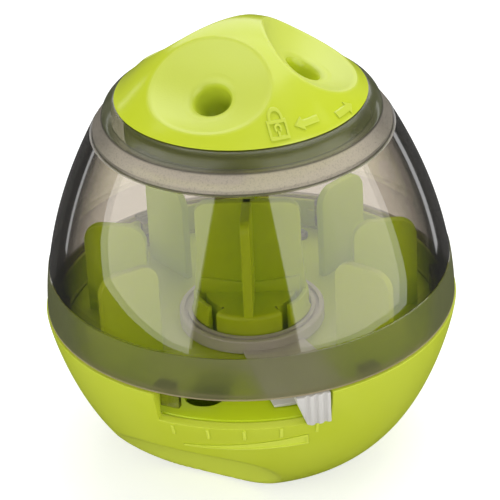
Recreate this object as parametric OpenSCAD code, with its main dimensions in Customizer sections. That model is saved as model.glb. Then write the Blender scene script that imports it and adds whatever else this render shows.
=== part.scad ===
// Treat dispensing ball: a weighted egg that rights itself.  A lever at the front turns a gate over
// a slot in the deck, which sets how fast treats pass between the store in the bowl and the smoked
// dome.  Fins tumble them there, and they leave by three dished holes in the cap.
// Origin: centre of the flat foot, +Z up, the lever window faces -Y.  Millimetres.

/* [Body] */
// Outer radius of the bowl at the seam, the widest place
seam_r = 55; // [50:0.5:62]
// Height of the seam between bowl and dome
seam_z = 43.2; // [41:0.2:46]
// Radius of the flat foot
foot_r = 26; // [24:0.5:27]
// How far the dome stands in from the bowl at the seam
seam_step = 0.6; // [0.3:0.1:1.2]
// Wall of the bowl
bowl_wall = 2.2; // [1.8:0.1:2.6]
// Depth of the grip scoops below a straight line between their ends
scoop_sag = 6.2; // [5:0.2:6.4]
// Height of the scoops' upper edge
scoop_top_z = 22.4; // [21:0.2:24]

/* [Dome] */
// Rise from the seam to the lower edge of the frosted neck
dome_rise = 50.4; // [48:0.2:56]
// Radius of the dome where the neck begins
shoulder_r = 39.7; // [38.5:0.1:41]
// Height of the frosted neck
neck_h = 9.1; // [8.6:0.1:10]
// Wall of the dome
dome_wall = 2.2; // [1.8:0.1:2.6]
// Height of the frosted band above the seam
band_h = 12.2; // [8:0.2:16]
// Height of the twist lugs under the dome's rim
lug_drop = 6.5; // [6.2:0.1:6.6]

/* [Cap] */
// Radius of the cap's rim
cap_r = 32.9; // [32:0.1:34]
// Height of the cap above its rim
cap_h = 18.7; // [17.5:0.1:20]
// Wall of the cap
cap_wall = 2.2; // [1.8:0.1:2.6]
// Radius of the three treat holes
treat_r = 4.5; // [3.5:0.1:5]
// Depth of the dishes below a straight line between their edges
dish_sag = 5.7; // [4.5:0.1:6]

/* [Deck and fins] */
// Thickness of the deck
deck_t = 3; // [2.4:0.1:3.4]
// Height of the fins above the deck
fin_h = 26.5; // [20:0.5:28]
// Thickness of the fins
fin_t = 2.2; // [1.6:0.1:3]
// Radius at the fins' inner edges
fin_in_r = 28; // [26:0.5:32]
// Distance from the fins' outer edges to the deck's edge
fin_edge = 5.5; // [5.1:0.1:8]
// Width of the treat slot in the deck
slot_w = 11; // [8:0.2:12]

/* [Vane] */
// Radius of the hub under the vane
hub_r = 15.5; // [14.5:0.1:16.5]
// Height of the hub above the deck
hub_h = 9; // [8:0.2:10]
// Height of the cross vane above the hub
vane_h = 26.7; // [20:0.5:28]
// Width across the vane's top
vane_w = 28; // [24:0.2:28.8]
// Thickness of the vane's plates
vane_t = 2.6; // [1.8:0.1:3.2]

/* [Gate] */
// Radial width of the gate ring
ring_w = 3.6; // [3:0.1:4]
// Height of the gate ring
ring_h = 3.5; // [3:0.1:4]
// Thickness of the gate plate
plate_t = 1.8; // [1.4:0.1:2.2]
// Width of the lever's grip
lever_w = 8.9; // [8:0.1:9]

/* [Weight] */
// Radius of the weight's upper step
weight_r = 23.5; // [21:0.1:23.8]
// Radius of the weight's lower step
weight_foot_r = 18.5; // [16:0.1:18.8]
// Height of the weight
weight_h = 11.4; // [10:0.2:11.6]
// Thickness of the plate over the weight
cover_t = 2; // [1.6:0.1:2.4]

/* [Fits] */
// Gap between pieces that turn on each other
turn_gap = 0.3; // [0.2:0.05:0.4]
// Gap between a screw's thread and its hole
thread_gap = 0.05; // [0.02:0.01:0.1]

/* [Hidden] */
$fn = 96;
// How far a cut runs past the face that it starts from, and how far a rib sinks into its carrier.
over = 1;
sink = 0.5;

// Angles are counted from the front (-Y) towards the right (+X), in degrees, and all of them
// are kept here: the scoops, screws, window, lever, marks, lugs and hooks.
step_count = 3;
step_turn = 360 / step_count;
scoop_at = -23;
screw_angle = 45;
window_half = 24.5;
lever_rest = 19.2;
tick_step = 10.3;
lug_at = -22.2;
lug_count = 6;
lug_turn = 14;
lug_half = 3;
lug_clear = 1;
stop_half = 1.2;
hook_half = 26;
hook_stop = 6;
hook_play = 0.6;
slot_at = -15.5;
notch_from = 38;
notch_to = 86;
clip_inset = 4.5;
fin_step = 41;
fin_count = 7;

// Shapes of the turned outlines: bowl, dome, cap.
bowl_power = 1.2;
bowl_round = 4;
dome_power = 1.86;
cap_power = 0.85;
cap_round = 2.2;
outline_steps = 14;

bowl_depth = seam_z / pow(1 - pow(foot_r / seam_r, bowl_round), 1 / bowl_power);
function bowl_at(z, grow = 0) =
    grow + seam_r * pow(1 - pow((seam_z - z) / bowl_depth, bowl_power), 1 / bowl_round);

dome_foot_r = seam_r - seam_step;
shoulder_z = seam_z + dome_rise;
function dome_at(z) =
    dome_foot_r - (dome_foot_r - shoulder_r) * pow(max(0, z - seam_z) / dome_rise, dome_power);

neck_top_z = shoulder_z + neck_h;
cap_z = neck_top_z + turn_gap;
function cap_at(z, grow = 0) =
    (cap_r + grow) * pow(max(0, 1 - pow((z - cap_z) / (cap_h + grow), cap_power)), 1 / cap_round);

// Heights of the inside, all from the deck's top face, which lies deck_drop below the seam.
deck_drop = 8;
deck_z = seam_z - deck_drop;
deck_floor_z = deck_z - deck_t;
hub_z = deck_z + hub_h;

// Bowl: rim wall, ledge under the deck, deck seat and the wall above it.
rim_wall = 3.3;
deck_step = 1.2;
ledge_w = 1.3;
floor_t = 3;
bowl_lean_share = 0.04;
rim_in_r = seam_r - rim_wall;
deck_r = rim_in_r - deck_step;
fin_out_r = deck_r - fin_edge;

// Lever window: its lip slopes down and out from just inside the rim wall.
lip_lead = 0.6;
lip_slope_share = 0.5;
lip_in_r = rim_in_r - lip_lead;
function lip_z(r) = deck_z - (r - lip_in_r) * lip_slope_share;

// Dome lugs hang inside the rim wall and hook under its bead.
lug_t = 1.8;
toe_w = 0.9;
toe_h = 1.6;
bead_h = 1.8;
dome_z = seam_z + turn_gap;
lug_z = dome_z - lug_drop;
lug_out_r = rim_in_r - toe_w - turn_gap;
lug_in_r = lug_out_r - lug_t;
bead_in_r = lug_out_r + turn_gap;
bead_z = lug_z + toe_h + turn_gap;

// Cap skirt, its hooks and the neck's hooks above them.
neck_lip_w = 1.9;
neck_lip_t = 2.4;
neck_inset = 0.8;
skirt_wall = 2.1;
skirt_drop = 10.8;
hook_t = 1.8;
hook_reach = 2.6;
hook_drop = 7.6;
cap_hook_t = 2.2;
flange_t = 2.2;
bore_r = cap_r - neck_lip_w;
skirt_r = bore_r - turn_gap;
hook_r = bore_r + hook_reach;
neck_hook_z = neck_top_z - hook_drop;
cap_hook_z = neck_hook_z - turn_gap - cap_hook_t;
neck_slope = (cap_r - shoulder_r) / (cap_z - shoulder_z);
function neck_at(z) = shoulder_r + neck_slope * (z - shoulder_z);

// The dark roll at the top of the neck, just under the cap.
roll_h = 2.4;
roll_w = 2.2;
roll_z = neck_top_z - roll_h;
roll_r = neck_at(roll_z);

// Gate ring, its plate and lever, and the clips on the deck that hold the ring down.
ring_gap = 0.4;
groove_w = 1;
groove_d = 1;
plate_edge = 3.5;
plate_r = deck_r - plate_edge;
lever_lug_gap = 1.2;
lever_top_gap = 0.5;
lever_slant = 2.6;
lever_foot_w = 1.2;
grip_r = 0.55;
grip_pitch = 2.3;
clip_t = 1.3;
clip_hook_w = 0.7;
clip_back_gap = 0.9;
ring_in_r = hub_r + ring_gap;
ring_r = ring_in_r + ring_w;
ring_z = deck_z + turn_gap;
lever_in_r = lug_out_r + lever_lug_gap;
lever_r = seam_r - turn_gap;
lever_top_z = dome_z - lever_top_gap;
notch_r = hub_r - clip_t - clip_back_gap;
clip_hook_z = ring_z + ring_h + turn_gap;

// Treat slot in the deck, with round ends, and the screw and key under the hub.
slot_in_r = 24;
slot_edge = 5.1;
slot_out_r = deck_r - slot_edge;
hub_core_r = 3.7;
hub_key_h = 1.8;

// Weight chamber.
pin_r = 2.6;
pin_gap = 0.4;
pin_h = 6;
weight_step_h = 5.3;
cover_z = floor_t + weight_h + turn_gap;
cover_edge = 6.6;
cover_r = weight_r + cover_edge;
cover_rim_h = 3;
cover_rim_t = 1.4;
cover_screw_edge = 2.7;
cover_screw_r = cover_r - cover_screw_edge;
boss_r = 3;
tray_screw_edge = 5.7;
tray_screw_r = deck_r - tray_screw_edge;
post_r = 3.2;
post_foot_z = 9;

// Screws: one size throughout.
shank_r = 1.3;
shank_len = 8;
tip_gap = 1;
screw_head_r = 2.5;
screw_head_h = 1.5;
cross_w = 0.7;
cross_l = 2.8;
cross_d = 0.9;
pass_gap = 0.3;
pass_r = shank_r + pass_gap;
thread_hole_r = shank_r + thread_gap;

emboss = 0.35;
fin_corner = 5;
vane_corner = 3.4;

// Chord of a dish or scoop in the meridian plane, its outward direction, and its arc's radius.
function chord_mid(p, q) = (p + q) / 2;
function chord_out(p, q) = [q[1] - p[1], p[0] - q[0]] / norm(q - p);
function arc_radius(p, q, sag) = (pow(norm(q - p) / 2, 2) + sag * sag) / (2 * sag);

dish_rim_h = 2.8;
dish_peak_drop = 0.7;
dish_across_r = 36.5;
dish_low_z = cap_z + dish_rim_h;
dish_high_z = cap_z + cap_h - dish_peak_drop;
dish_low = [cap_at(dish_low_z), dish_low_z];
dish_high = [cap_at(dish_high_z), dish_high_z];
dish_out = chord_out(dish_low, dish_high);
dish_mid = chord_mid(dish_low, dish_high);
dish_tilt = atan2(dish_out[0], dish_out[1]);

scoop_low_z = 0.25;
scoop_across_r = 62;
scoop_low = [bowl_at(scoop_low_z), scoop_low_z];
scoop_high = [bowl_at(scoop_top_z), scoop_top_z];

function polar(r, at) = [r * sin(at), -r * cos(at)];
function box_outline(r0, r1, z0, z1) = [[r0, z0], [r1, z0], [r1, z1], [r0, z1]];

// Puts children, drawn for the front, round to an angle.
module face(at) {
    rotate([0, 0, at]) children();
}

// An arc-shaped bar of an (r, z) outline, from one angle to another.
module arc_bar(outline, from, to) {
    rotate([0, 0, from - 90]) rotate_extrude(angle = to - from) polygon(outline);
}

// A ring or disc of an (r, z) outline.
module turned(outline) {
    rotate_extrude() polygon(outline);
}

// A round-edged wheel that cuts or backs one dish, placed in the front meridian plane.
// Along the meridian it has the radius of the dish's own arc, and across it a wider one.
module dish_wheel(low, high, sag, across_r, grow) {
    arc_r = arc_radius(low, high, sag);
    mid = chord_mid(low, high);
    out = chord_out(low, high);
    tilt = atan2(out[1], out[0]);
    translate([0, -mid[0], mid[1]]) rotate([-tilt, 0, 0]) translate([0, sag - across_r, 0])
        rotate_extrude() intersection() {
            translate([across_r - arc_r, 0]) circle(r = arc_r + grow);
            translate([0, -across_r]) square([2 * across_r, 2 * across_r]);
        }
}

// Bowl

function bowl_outline(grow) = concat(
    [[0, 0]],
    [for (i = [outline_steps : -1 : 0])
        let (z = seam_z * (1 - sin(90 * i / outline_steps))) [bowl_at(z, grow), z]],
    [[0, seam_z]]);

module bowl_solid(grow = 0) {
    turned(bowl_outline(grow));
}

// The space inside the bowl: its wall thickens towards the floor.
module bowl_void() {
    turned(concat(
        [[0, floor_t]],
        [for (i = [outline_steps : -1 : 0])
            let (z = floor_t + (deck_floor_z - floor_t) * (1 - sin(90 * i / outline_steps)))
            [min(bowl_at(z) - bowl_wall, deck_r - ledge_w) - (deck_floor_z - z) * bowl_lean_share, z]],
        [[deck_r + turn_gap, deck_floor_z], [deck_r + turn_gap, deck_z], [rim_in_r, deck_z],
         [rim_in_r, seam_z + over], [0, seam_z + over]]));
}

module scoops(grow) {
    for (i = [0 : step_count - 1])
        face(scoop_at + i * step_turn) dish_wheel(scoop_low, scoop_high, scoop_sag, scoop_across_r, grow);
}

// Lever window: open at the rim, with a sloping lip.
module window() {
    arc_bar([[deck_r, deck_z], [seam_r + over, deck_z], [seam_r + over, seam_z + over],
             [deck_r, seam_z + over]], -window_half, window_half);
    arc_bar([[lip_in_r, deck_z], [seam_r + over, lip_z(seam_r + over)], [seam_r + over, deck_z + over],
             [lip_in_r, deck_z + over]], -window_half, window_half);
}

// Five dial strokes and a wedge that grows to the right, cut to the wall by what carries them.
module dial_marks() {
    tick_w = 0.7;
    tick_h = 3.3;
    tick_drop = 1.9;
    wedge_h = 3.7;
    wedge_tip_h = 0.5;
    wedge_half = 16;
    wedge_drop = 9.1;
    tick_z = deck_z - tick_drop - tick_h;
    wedge_z = deck_z - wedge_drop;
    for (i = [-2 : 2])
        face(i * tick_step) translate([-tick_w / 2, -seam_r, tick_z]) cube([tick_w, seam_r / 2, tick_h]);
    translate([0, -seam_r / 2, 0]) rotate([90, 0, 0]) linear_extrude(seam_r / 2)
        polygon([[-wedge_half, wedge_z], [wedge_half, wedge_z], [wedge_half, wedge_z + wedge_h],
                 [-wedge_half, wedge_z + wedge_tip_h]]);
}

// Bead that the dome's lugs hook under, with a gap to drop each lug through and a stop.
module bayonet_bead() {
    for (i = [1 : lug_count - 1]) {
        at = lug_at + i * 360 / lug_count;
        arc_bar(box_outline(bead_in_r, rim_in_r + sink, bead_z, bead_z + bead_h),
                at - lug_turn + lug_half + lug_clear, at + lug_half + 3 * stop_half);
        arc_bar(box_outline(bead_in_r, rim_in_r + sink, lug_z, bead_z + sink),
                at + lug_half + stop_half / 2, at + lug_half + 2 * stop_half);
    }
}

module posts(r, outer, z0, z1) {
    for (i = [0 : step_count - 1])
        face(screw_angle + i * step_turn) translate([0, -r, z0]) cylinder(r = outer, h = z1 - z0);
}

module base_bowl() {
    color("yellowgreen") difference() {
        union() {
            difference() {
                bowl_solid();
                scoops(0);
                difference() {
                    bowl_void();
                    scoops(bowl_wall);
                }
            }
            difference() {
                intersection() {
                    bowl_solid();
                    union() {
                        posts(tray_screw_r, post_r, post_foot_z, deck_floor_z);
                        posts(cover_screw_r, boss_r, floor_t - sink, cover_z);
                        cylinder(r = pin_r, h = floor_t + pin_h);
                        bayonet_bead();
                    }
                }
                scoops(0);
            }
            intersection() {
                difference() {
                    bowl_solid(emboss);
                    bowl_solid(-sink);
                }
                dial_marks();
            }
        }
        window();
        posts(tray_screw_r, thread_hole_r, deck_z - shank_len - tip_gap, deck_floor_z + over);
        posts(cover_screw_r, thread_hole_r, cover_z + cover_t - shank_len - tip_gap, cover_z + over);
    }
}

// Weight and its cover

module counterweight() {
    bevel = 1;
    color("dimgray") translate([0, 0, floor_t]) difference() {
        turned([[0, 0], [weight_foot_r - bevel, 0], [weight_foot_r, bevel],
                [weight_foot_r, weight_step_h], [weight_r, weight_step_h], [weight_r, weight_h - bevel],
                [weight_r - bevel, weight_h], [0, weight_h]]);
        translate([0, 0, -over]) cylinder(r = pin_r + pin_gap, h = weight_h + 2 * over);
    }
}

module weight_cover() {
    rib_h = 1.2;
    rib_t = 1.4;
    color("yellowgreen") difference() {
        union() {
            translate([0, 0, cover_z]) cylinder(r = cover_r, h = cover_t);
            difference() {
                turned(box_outline(weight_r + pin_gap, weight_r + pin_gap + cover_rim_t,
                                   cover_z - cover_rim_h, cover_z + cover_t / 2));
                posts(cover_screw_r, boss_r + turn_gap, cover_z - cover_rim_h - over, cover_z + cover_t);
            }
            for (i = [0 : step_count - 1]) face(scoop_at + i * step_turn)
                translate([-rib_t / 2, -weight_r, cover_z]) cube([rib_t, weight_r, cover_t + rib_h]);
        }
        posts(cover_screw_r, pass_r, cover_z - over, cover_z + cover_t + over);
        scoops(bowl_wall + 2 * turn_gap);
    }
}

// One pan-head screw, its head's underside at z = 0, pointing down.
module screw() {
    crown = screw_head_h / 3;
    difference() {
        union() {
            turned([[0, 0], [screw_head_r, 0], [screw_head_r, screw_head_h - crown],
                    [screw_head_r - crown, screw_head_h], [0, screw_head_h]]);
            translate([0, 0, -shank_len]) cylinder(r = shank_r, h = shank_len + crown);
        }
        for (turn = [0, 90])
            rotate([0, 0, turn]) translate([-cross_l / 2, -cross_w / 2, screw_head_h - cross_d])
                cube([cross_l, cross_w, cross_d + over]);
    }
}

module cover_screws() {
    color("silver") for (i = [0 : step_count - 1])
        face(screw_angle + i * step_turn) translate([0, -cover_screw_r, cover_z + cover_t]) screw();
}

// Deck with fins

// An upright plate with round upper corners, standing along +X from the origin.
module fin_plate(h, w, corner, t) {
    translate([0, t / 2, 0]) rotate([90, 0, 0]) linear_extrude(t) {
        square([w, h - corner]);
        translate([corner, 0]) square([w - 2 * corner, h]);
        translate([corner, h - corner]) circle(r = corner);
        translate([w - corner, h - corner]) circle(r = corner);
    }
}

module treat_slot() {
    end_r = slot_w / 2;
    face(slot_at) translate([0, 0, deck_floor_z - over]) {
        for (r = [slot_in_r + end_r, slot_out_r - end_r])
            translate([0, -r, 0]) cylinder(r = end_r, h = deck_t + 2 * over);
        translate([-end_r, end_r - slot_out_r, 0])
            cube([slot_w, slot_out_r - slot_in_r - slot_w, deck_t + 2 * over]);
    }
}

// A clip that stands in a notch of the hub and reaches over the ring.
module ring_clip() {
    from = notch_from + clip_inset;
    to = notch_to - clip_inset / 2;
    clip_out_r = hub_r + clip_hook_w;
    arc_bar(box_outline(hub_r - clip_t, hub_r, deck_z - sink, hub_z + clip_hook_w), from, to);
    arc_bar([[hub_r - sink, clip_hook_z], [clip_out_r, clip_hook_z],
             [clip_out_r, clip_hook_z + clip_hook_w], [hub_r - sink, clip_hook_z + 3 * clip_hook_w]],
            from, to);
}

module fin_tray() {
    key_seat_r = hub_core_r + turn_gap;
    color("greenyellow") difference() {
        union() {
            translate([0, 0, deck_floor_z]) cylinder(r = deck_r, h = deck_t);
            for (i = [0 : fin_count - 1])
                face(180 + (i - (fin_count - 1) / 2) * fin_step)
                    rotate([0, 0, -90]) translate([fin_in_r, 0, deck_z - sink])
                        fin_plate(fin_h + sink, fin_out_r - fin_in_r, fin_corner, fin_t);
            ring_clip();
            mirror([1, 0, 0]) ring_clip();
        }
        treat_slot();
        posts(tray_screw_r, pass_r, deck_floor_z - over, deck_z + over);
        translate([0, 0, deck_floor_z - over]) cylinder(r = pass_r, h = deck_t + 2 * over);
        translate([0, 0, deck_z - hub_key_h]) cylinder(r = key_seat_r, h = hub_key_h + over);
    }
}

module tray_screws() {
    color("silver") for (i = [0 : step_count - 1])
        face(screw_angle + i * step_turn) translate([0, -tray_screw_r, deck_z]) screw();
}

// Cross vane on its hub

// The plates flare at their feet, and the one across the front has a thicker root.
module cross_vane() {
    hub_wall = 2;
    hub_edge = 1.4;
    foot_flare = 1;
    root_h = 2.6;
    root_end_h = 4.6;
    root_step = 0.8;
    root_t = vane_t + 2 * root_step;
    vane_half = vane_w / 2;
    hollow_r = notch_r - hub_wall;
    color("yellowgreen") difference() {
        union() {
            difference() {
                turned([[0, deck_z], [hub_r, deck_z], [hub_r, hub_z - hub_edge],
                        [hub_r - hub_edge / 3, hub_z - hub_edge / 3], [hub_r - hub_edge, hub_z], [0, hub_z]]);
                turned([[hub_core_r, deck_z - over], [hollow_r, deck_z - over],
                        [hollow_r, hub_z - 2 * hub_wall], [hollow_r - hub_wall, hub_z - hub_wall],
                        [hub_core_r, hub_z - hub_wall]]);
                for (side = [0, 1]) mirror([side, 0, 0])
                    arc_bar(box_outline(notch_r, hub_r + over, deck_z - over, hub_z + over),
                            notch_from, notch_to);
            }
            for (turn = [0, 90]) rotate([0, 0, turn]) {
                translate([-vane_half, 0, hub_z - sink])
                    fin_plate(vane_h + sink, vane_w, vane_corner, vane_t);
                translate([0, vane_t / 2, 0]) rotate([90, 0, 0]) linear_extrude(vane_t)
                    polygon([[-vane_half - foot_flare, hub_z - sink], [vane_half + foot_flare, hub_z - sink],
                             [vane_half + foot_flare, hub_z], [vane_half, hub_z + vane_h / 2],
                             [-vane_half, hub_z + vane_h / 2], [-vane_half - foot_flare, hub_z]]);
            }
            translate([0, root_t / 2, 0]) rotate([90, 0, 0]) linear_extrude(root_t)
                polygon([[-notch_r, hub_z - sink], [notch_r, hub_z - sink], [notch_r, hub_z + root_end_h],
                         [0, hub_z + root_h], [-notch_r, hub_z + root_end_h]]);
            translate([0, 0, deck_z - hub_key_h]) cylinder(r = hub_core_r, h = hub_key_h + sink);
        }
        translate([0, 0, deck_z - hub_key_h - over])
            cylinder(r = thread_hole_r, h = shank_len - deck_t + tip_gap + hub_key_h + over);
    }
}

module vane_screw() {
    color("silver") translate([0, 0, deck_floor_z]) rotate([180, 0, 0]) screw();
}

// Gate ring with its plate and lever, drawn with the lever at the front

module lever_block() {
    span = 12;
    toe_r = lever_r - lever_foot_w;
    foot_z = lip_z(toe_r) + turn_gap;
    intersection() {
        arc_bar([[lever_in_r, lip_z(lever_in_r) + turn_gap], [toe_r, foot_z], [lever_r, foot_z],
                 [lever_r, lever_top_z], [lever_in_r, lever_top_z]], -span, span);
        translate([0, -lever_in_r + over, 0]) rotate([90, 0, 0]) linear_extrude(lever_r)
            polygon([[-lever_w / 2 + lever_slant, deck_z - over], [lever_w / 2, deck_z - over],
                     [lever_w / 2, lever_top_z], [-lever_w / 2, lever_top_z],
                     [-lever_w / 2, lever_top_z - lever_slant / 2]]);
    }
}

// The thin arm between plate and lever passes under the dome's lugs.
module gate_ring() {
    groove_r = ring_in_r + (ring_w - groove_w) / 2;
    groove_z = ring_z + ring_h - groove_d;
    bulge_r = 35.3;
    shoulder_at_r = 44;
    arm_from = 0.6;
    arm_to = 4.5;
    arm_t = 1.2;
    foot_z = lip_z(lever_r) - over;
    color("whitesmoke") rotate([0, 0, lever_rest]) difference() {
        union() {
            turned(box_outline(ring_in_r, ring_r, ring_z, ring_z + ring_h));
            translate([0, 0, ring_z]) linear_extrude(plate_t) difference() {
                intersection() {
                    circle(r = plate_r);
                    polygon([polar(ring_in_r, -60), polar(ring_r, -24), polar(plate_r + over, -10),
                             polar(plate_r + over, 5), polar(shoulder_at_r, 13.6), polar(bulge_r, 20),
                             polar(ring_r, 28), polar(ring_in_r, 60)]);
                }
                circle(r = ring_in_r);
            }
            arc_bar(box_outline(plate_r - sink, lever_in_r + sink, ring_z, ring_z + arm_t), arm_from, arm_to);
            lever_block();
        }
        turned(box_outline(groove_r, groove_r + groove_w, groove_z, groove_z + groove_d + over));
        for (i = [-1 : 1])
            translate([i * grip_pitch + grip_pitch / 4, -lever_r - grip_r / 4, foot_z])
                cylinder(r = grip_r, h = lever_top_z + over - foot_z, $fn = 24);
    }
}

// Smoked dome with its frosted neck

// The frosted band at the foot stands out by a small step, and the neck is set in by another.
module dome() {
    band_step = 0.2;
    band_z = seam_z + band_h;
    band_parts = 3;
    roll_parts = 5;
    neck_foot_r = shoulder_r - neck_inset;
    lip_under_z = neck_top_z - neck_lip_t;
    hook_root_r = neck_at(neck_hook_z + hook_t) - dome_wall / 2;
    outer = concat(
        [for (i = [0 : band_parts])
            let (z = dome_z + (band_z - dome_z) * i / band_parts) [dome_at(z) + band_step, z]],
        [for (i = [0 : outline_steps])
            let (z = band_z + (shoulder_z - band_z) * i / outline_steps) [dome_at(z), z]],
        [[neck_foot_r, shoulder_z + neck_inset / 3], [neck_foot_r, shoulder_z + 3 * neck_inset / 2]],
        [for (i = [0 : roll_parts])
            let (turn = 90 * i / roll_parts)
            [roll_r - roll_w + roll_w * cos(turn), roll_z + roll_h * sin(turn)]],
        [[bore_r, neck_top_z], [bore_r, lip_under_z]]);
    inner = concat(
        [[neck_at(lip_under_z) - dome_wall, lip_under_z]],
        [for (i = [outline_steps : -1 : 0])
            let (z = dome_z + (shoulder_z - dome_z) * i / outline_steps) [dome_at(z) - dome_wall, z]]);
    color("dimgray", 0.45) {
        turned(concat(outer, inner));
        for (i = [0 : lug_count - 1]) {
            at = lug_at + i * 360 / lug_count;
            arc_bar(box_outline(lug_in_r, lug_out_r, lug_z, dome_z + lug_t), at - lug_half, at + lug_half);
            arc_bar(box_outline(lug_out_r - lug_t / 2, dome_foot_r - dome_wall / 2, dome_z + turn_gap,
                                dome_z + lug_t - turn_gap), at - lug_half, at + lug_half);
            if (i > 0)
                arc_bar(box_outline(lug_out_r - lug_t / 2, lug_out_r + toe_w, lug_z, lug_z + toe_h),
                        at - lug_half, at + lug_half);
        }
        for (i = [0 : step_count - 1]) face(scoop_at + i * step_turn) {
            arc_bar(box_outline(bore_r, hook_root_r, neck_hook_z, neck_hook_z + hook_t),
                    -hook_half, hook_half);
            arc_bar(box_outline(bore_r, hook_root_r, cap_hook_z, neck_hook_z + hook_t),
                    -hook_half - hook_stop, -hook_half - hook_play);
        }
    }
}

// Cap

function cap_outline(grow) = concat(
    [[0, cap_z]],
    [for (i = [0 : outline_steps])
        let (z = cap_z + (cap_h + grow) * sin(90 * i / outline_steps)) [cap_at(z, grow), z]]);

module dishes(grow) {
    for (i = [0 : step_count - 1])
        face(scoop_at + i * step_turn) dish_wheel(dish_low, dish_high, dish_sag, dish_across_r, grow);
}

// Round tubes or holes along each dish's own axis, a little below its middle, from its surface
// inwards.
module dish_tubes(r0, r1, up, down) {
    hole_shift = 1.3;
    for (i = [0 : step_count - 1])
        face(scoop_at + i * step_turn)
            translate([0, -dish_mid[0] + dish_out[0] * dish_sag, dish_mid[1] - dish_out[1] * dish_sag])
                rotate([dish_tilt, 0, 0]) translate([0, -hole_shift, -down])
                    cylinder(r1 = r1, r2 = r0, h = up + down);
}

// Raised signs by the rim: a closed padlock and two arrows, seen along the radius.
module cap_signs() {
    sign_rise = 1.2;
    lock_w = 5;
    lock_h = 3.4;
    bow_r = 1.9;
    bow_t = 0.7;
    keyhole_low = 0.7;
    keyhole_h = 1.3;
    arrow_l = 6.4;
    arrow_t = 0.8;
    arrow_head = 1.2;
    lock_at = 21;
    arrow_at = 36.5;
    other_arrow_at = 64;
    lock_z = cap_z + sign_rise;
    reach = cap_r / 2;
    face(lock_at) translate([0, -reach, 0]) rotate([90, 0, 0]) linear_extrude(reach + over)
        translate([0, lock_z]) {
            difference() {
                translate([-lock_w / 2, 0]) square([lock_w, lock_h]);
                translate([0, keyhole_low + keyhole_h]) circle(r = bow_t, $fn = 24);
                translate([-bow_t / 2, keyhole_low]) square([bow_t, keyhole_h]);
            }
            difference() {
                translate([-bow_r, lock_h - bow_t]) square([2 * bow_r, bow_r + bow_t]);
                translate([-bow_r + bow_t, lock_h - 2 * bow_t])
                    square([2 * (bow_r - bow_t), bow_r + 2 * bow_t]);
            }
            translate([0, lock_h + bow_r - bow_t]) difference() {
                circle(r = bow_r, $fn = 32);
                circle(r = bow_r - bow_t, $fn = 32);
                translate([-bow_r, -2 * bow_r]) square(2 * bow_r);
            }
        }
    for (sign = [[arrow_at, 0], [other_arrow_at, 1]])
        face(sign[0]) mirror([sign[1], 0, 0]) translate([0, -reach, 0]) rotate([90, 0, 0])
            linear_extrude(reach + over) translate([0, lock_z + arrow_head]) {
                polygon([[-arrow_l / 2, 0], [-arrow_l / 2 + 2 * arrow_head, -arrow_head],
                         [-arrow_l / 2 + 2 * arrow_head, arrow_head]]);
                translate([-arrow_l / 2 + arrow_head, -arrow_t / 2]) square([arrow_l - arrow_head, arrow_t]);
            }
}

// The holes flare a little where they meet the dishes, and run on inside as short tubes.
module top_cap() {
    flare = 1.5;
    flare_up = 1.4;
    flare_down = 1.1;
    tube_len = 5;
    tube_wall = 1.5;
    skirt_in_r = skirt_r - skirt_wall;
    color("yellowgreen") {
        difference() {
            union() {
                turned(cap_outline(0));
                turned(box_outline(skirt_in_r, skirt_r, cap_z - skirt_drop, cap_z + flange_t / 2));
                intersection() {
                    turned(cap_outline(emboss));
                    cap_signs();
                }
            }
            dishes(0);
            difference() {
                intersection() {
                    turned([for (p = cap_outline(-cap_wall)) [p[0], p[1] - flange_t / 2]]);
                    translate([0, 0, cap_z - skirt_drop]) cylinder(r = skirt_in_r, h = skirt_drop + cap_h);
                }
                dishes(cap_wall);
                dish_tubes(treat_r + tube_wall, treat_r + tube_wall, over, tube_len);
            }
            dish_tubes(treat_r, treat_r, cap_h, tube_len + over);
            dish_tubes(treat_r + flare, treat_r, flare_up, flare_down);
        }
        for (i = [0 : step_count - 1]) face(scoop_at + i * step_turn)
            arc_bar(box_outline(skirt_r - skirt_wall / 2, hook_r, cap_hook_z, neck_hook_z - turn_gap),
                    -hook_half, hook_half);
    }
}

base_bowl();
counterweight();
weight_cover();
cover_screws();
fin_tray();
tray_screws();
cross_vane();
vane_screw();
gate_ring();
dome();
top_cap();
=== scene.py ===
"""The looks of the treat dispensing ball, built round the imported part, and its studio."""

from __future__ import annotations

import logging
from dataclasses import dataclass, field
from enum import Enum
from math import atan2, cos, dist, hypot, pi, radians, sin, sqrt
from typing import Callable, Sequence

import bmesh
import bpy
import numpy as np
from mathutils import Matrix, Vector


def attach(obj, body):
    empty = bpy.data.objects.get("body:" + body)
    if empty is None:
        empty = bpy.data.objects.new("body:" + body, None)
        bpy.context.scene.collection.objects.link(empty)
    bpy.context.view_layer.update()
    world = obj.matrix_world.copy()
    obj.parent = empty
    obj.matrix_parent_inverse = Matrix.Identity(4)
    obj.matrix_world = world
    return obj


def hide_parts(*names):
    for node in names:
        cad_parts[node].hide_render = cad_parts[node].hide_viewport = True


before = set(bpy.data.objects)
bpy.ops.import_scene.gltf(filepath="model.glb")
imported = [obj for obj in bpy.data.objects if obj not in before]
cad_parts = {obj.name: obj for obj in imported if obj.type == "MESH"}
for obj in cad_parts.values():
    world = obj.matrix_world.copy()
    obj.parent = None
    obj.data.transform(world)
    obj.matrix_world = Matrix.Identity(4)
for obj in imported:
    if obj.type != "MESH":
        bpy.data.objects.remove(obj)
log = logging.getLogger("treat_ball")

MM = 0.001
HALVINGS = 28
WHITE = (1, 1, 1, 1)
Outline = Sequence[tuple[float, float]]
Colour = tuple[int, int, int]
Array = np.ndarray
Surface = Inside = Callable[[Array, Array], Array]
Inputs = dict[str | int, object]


class Body(Enum):
    """The moving bodies that a piece may ride on."""

    BASE = "base"
    GATE = "gate"
    DOME = "dome"
    CAP = "cap"


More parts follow.
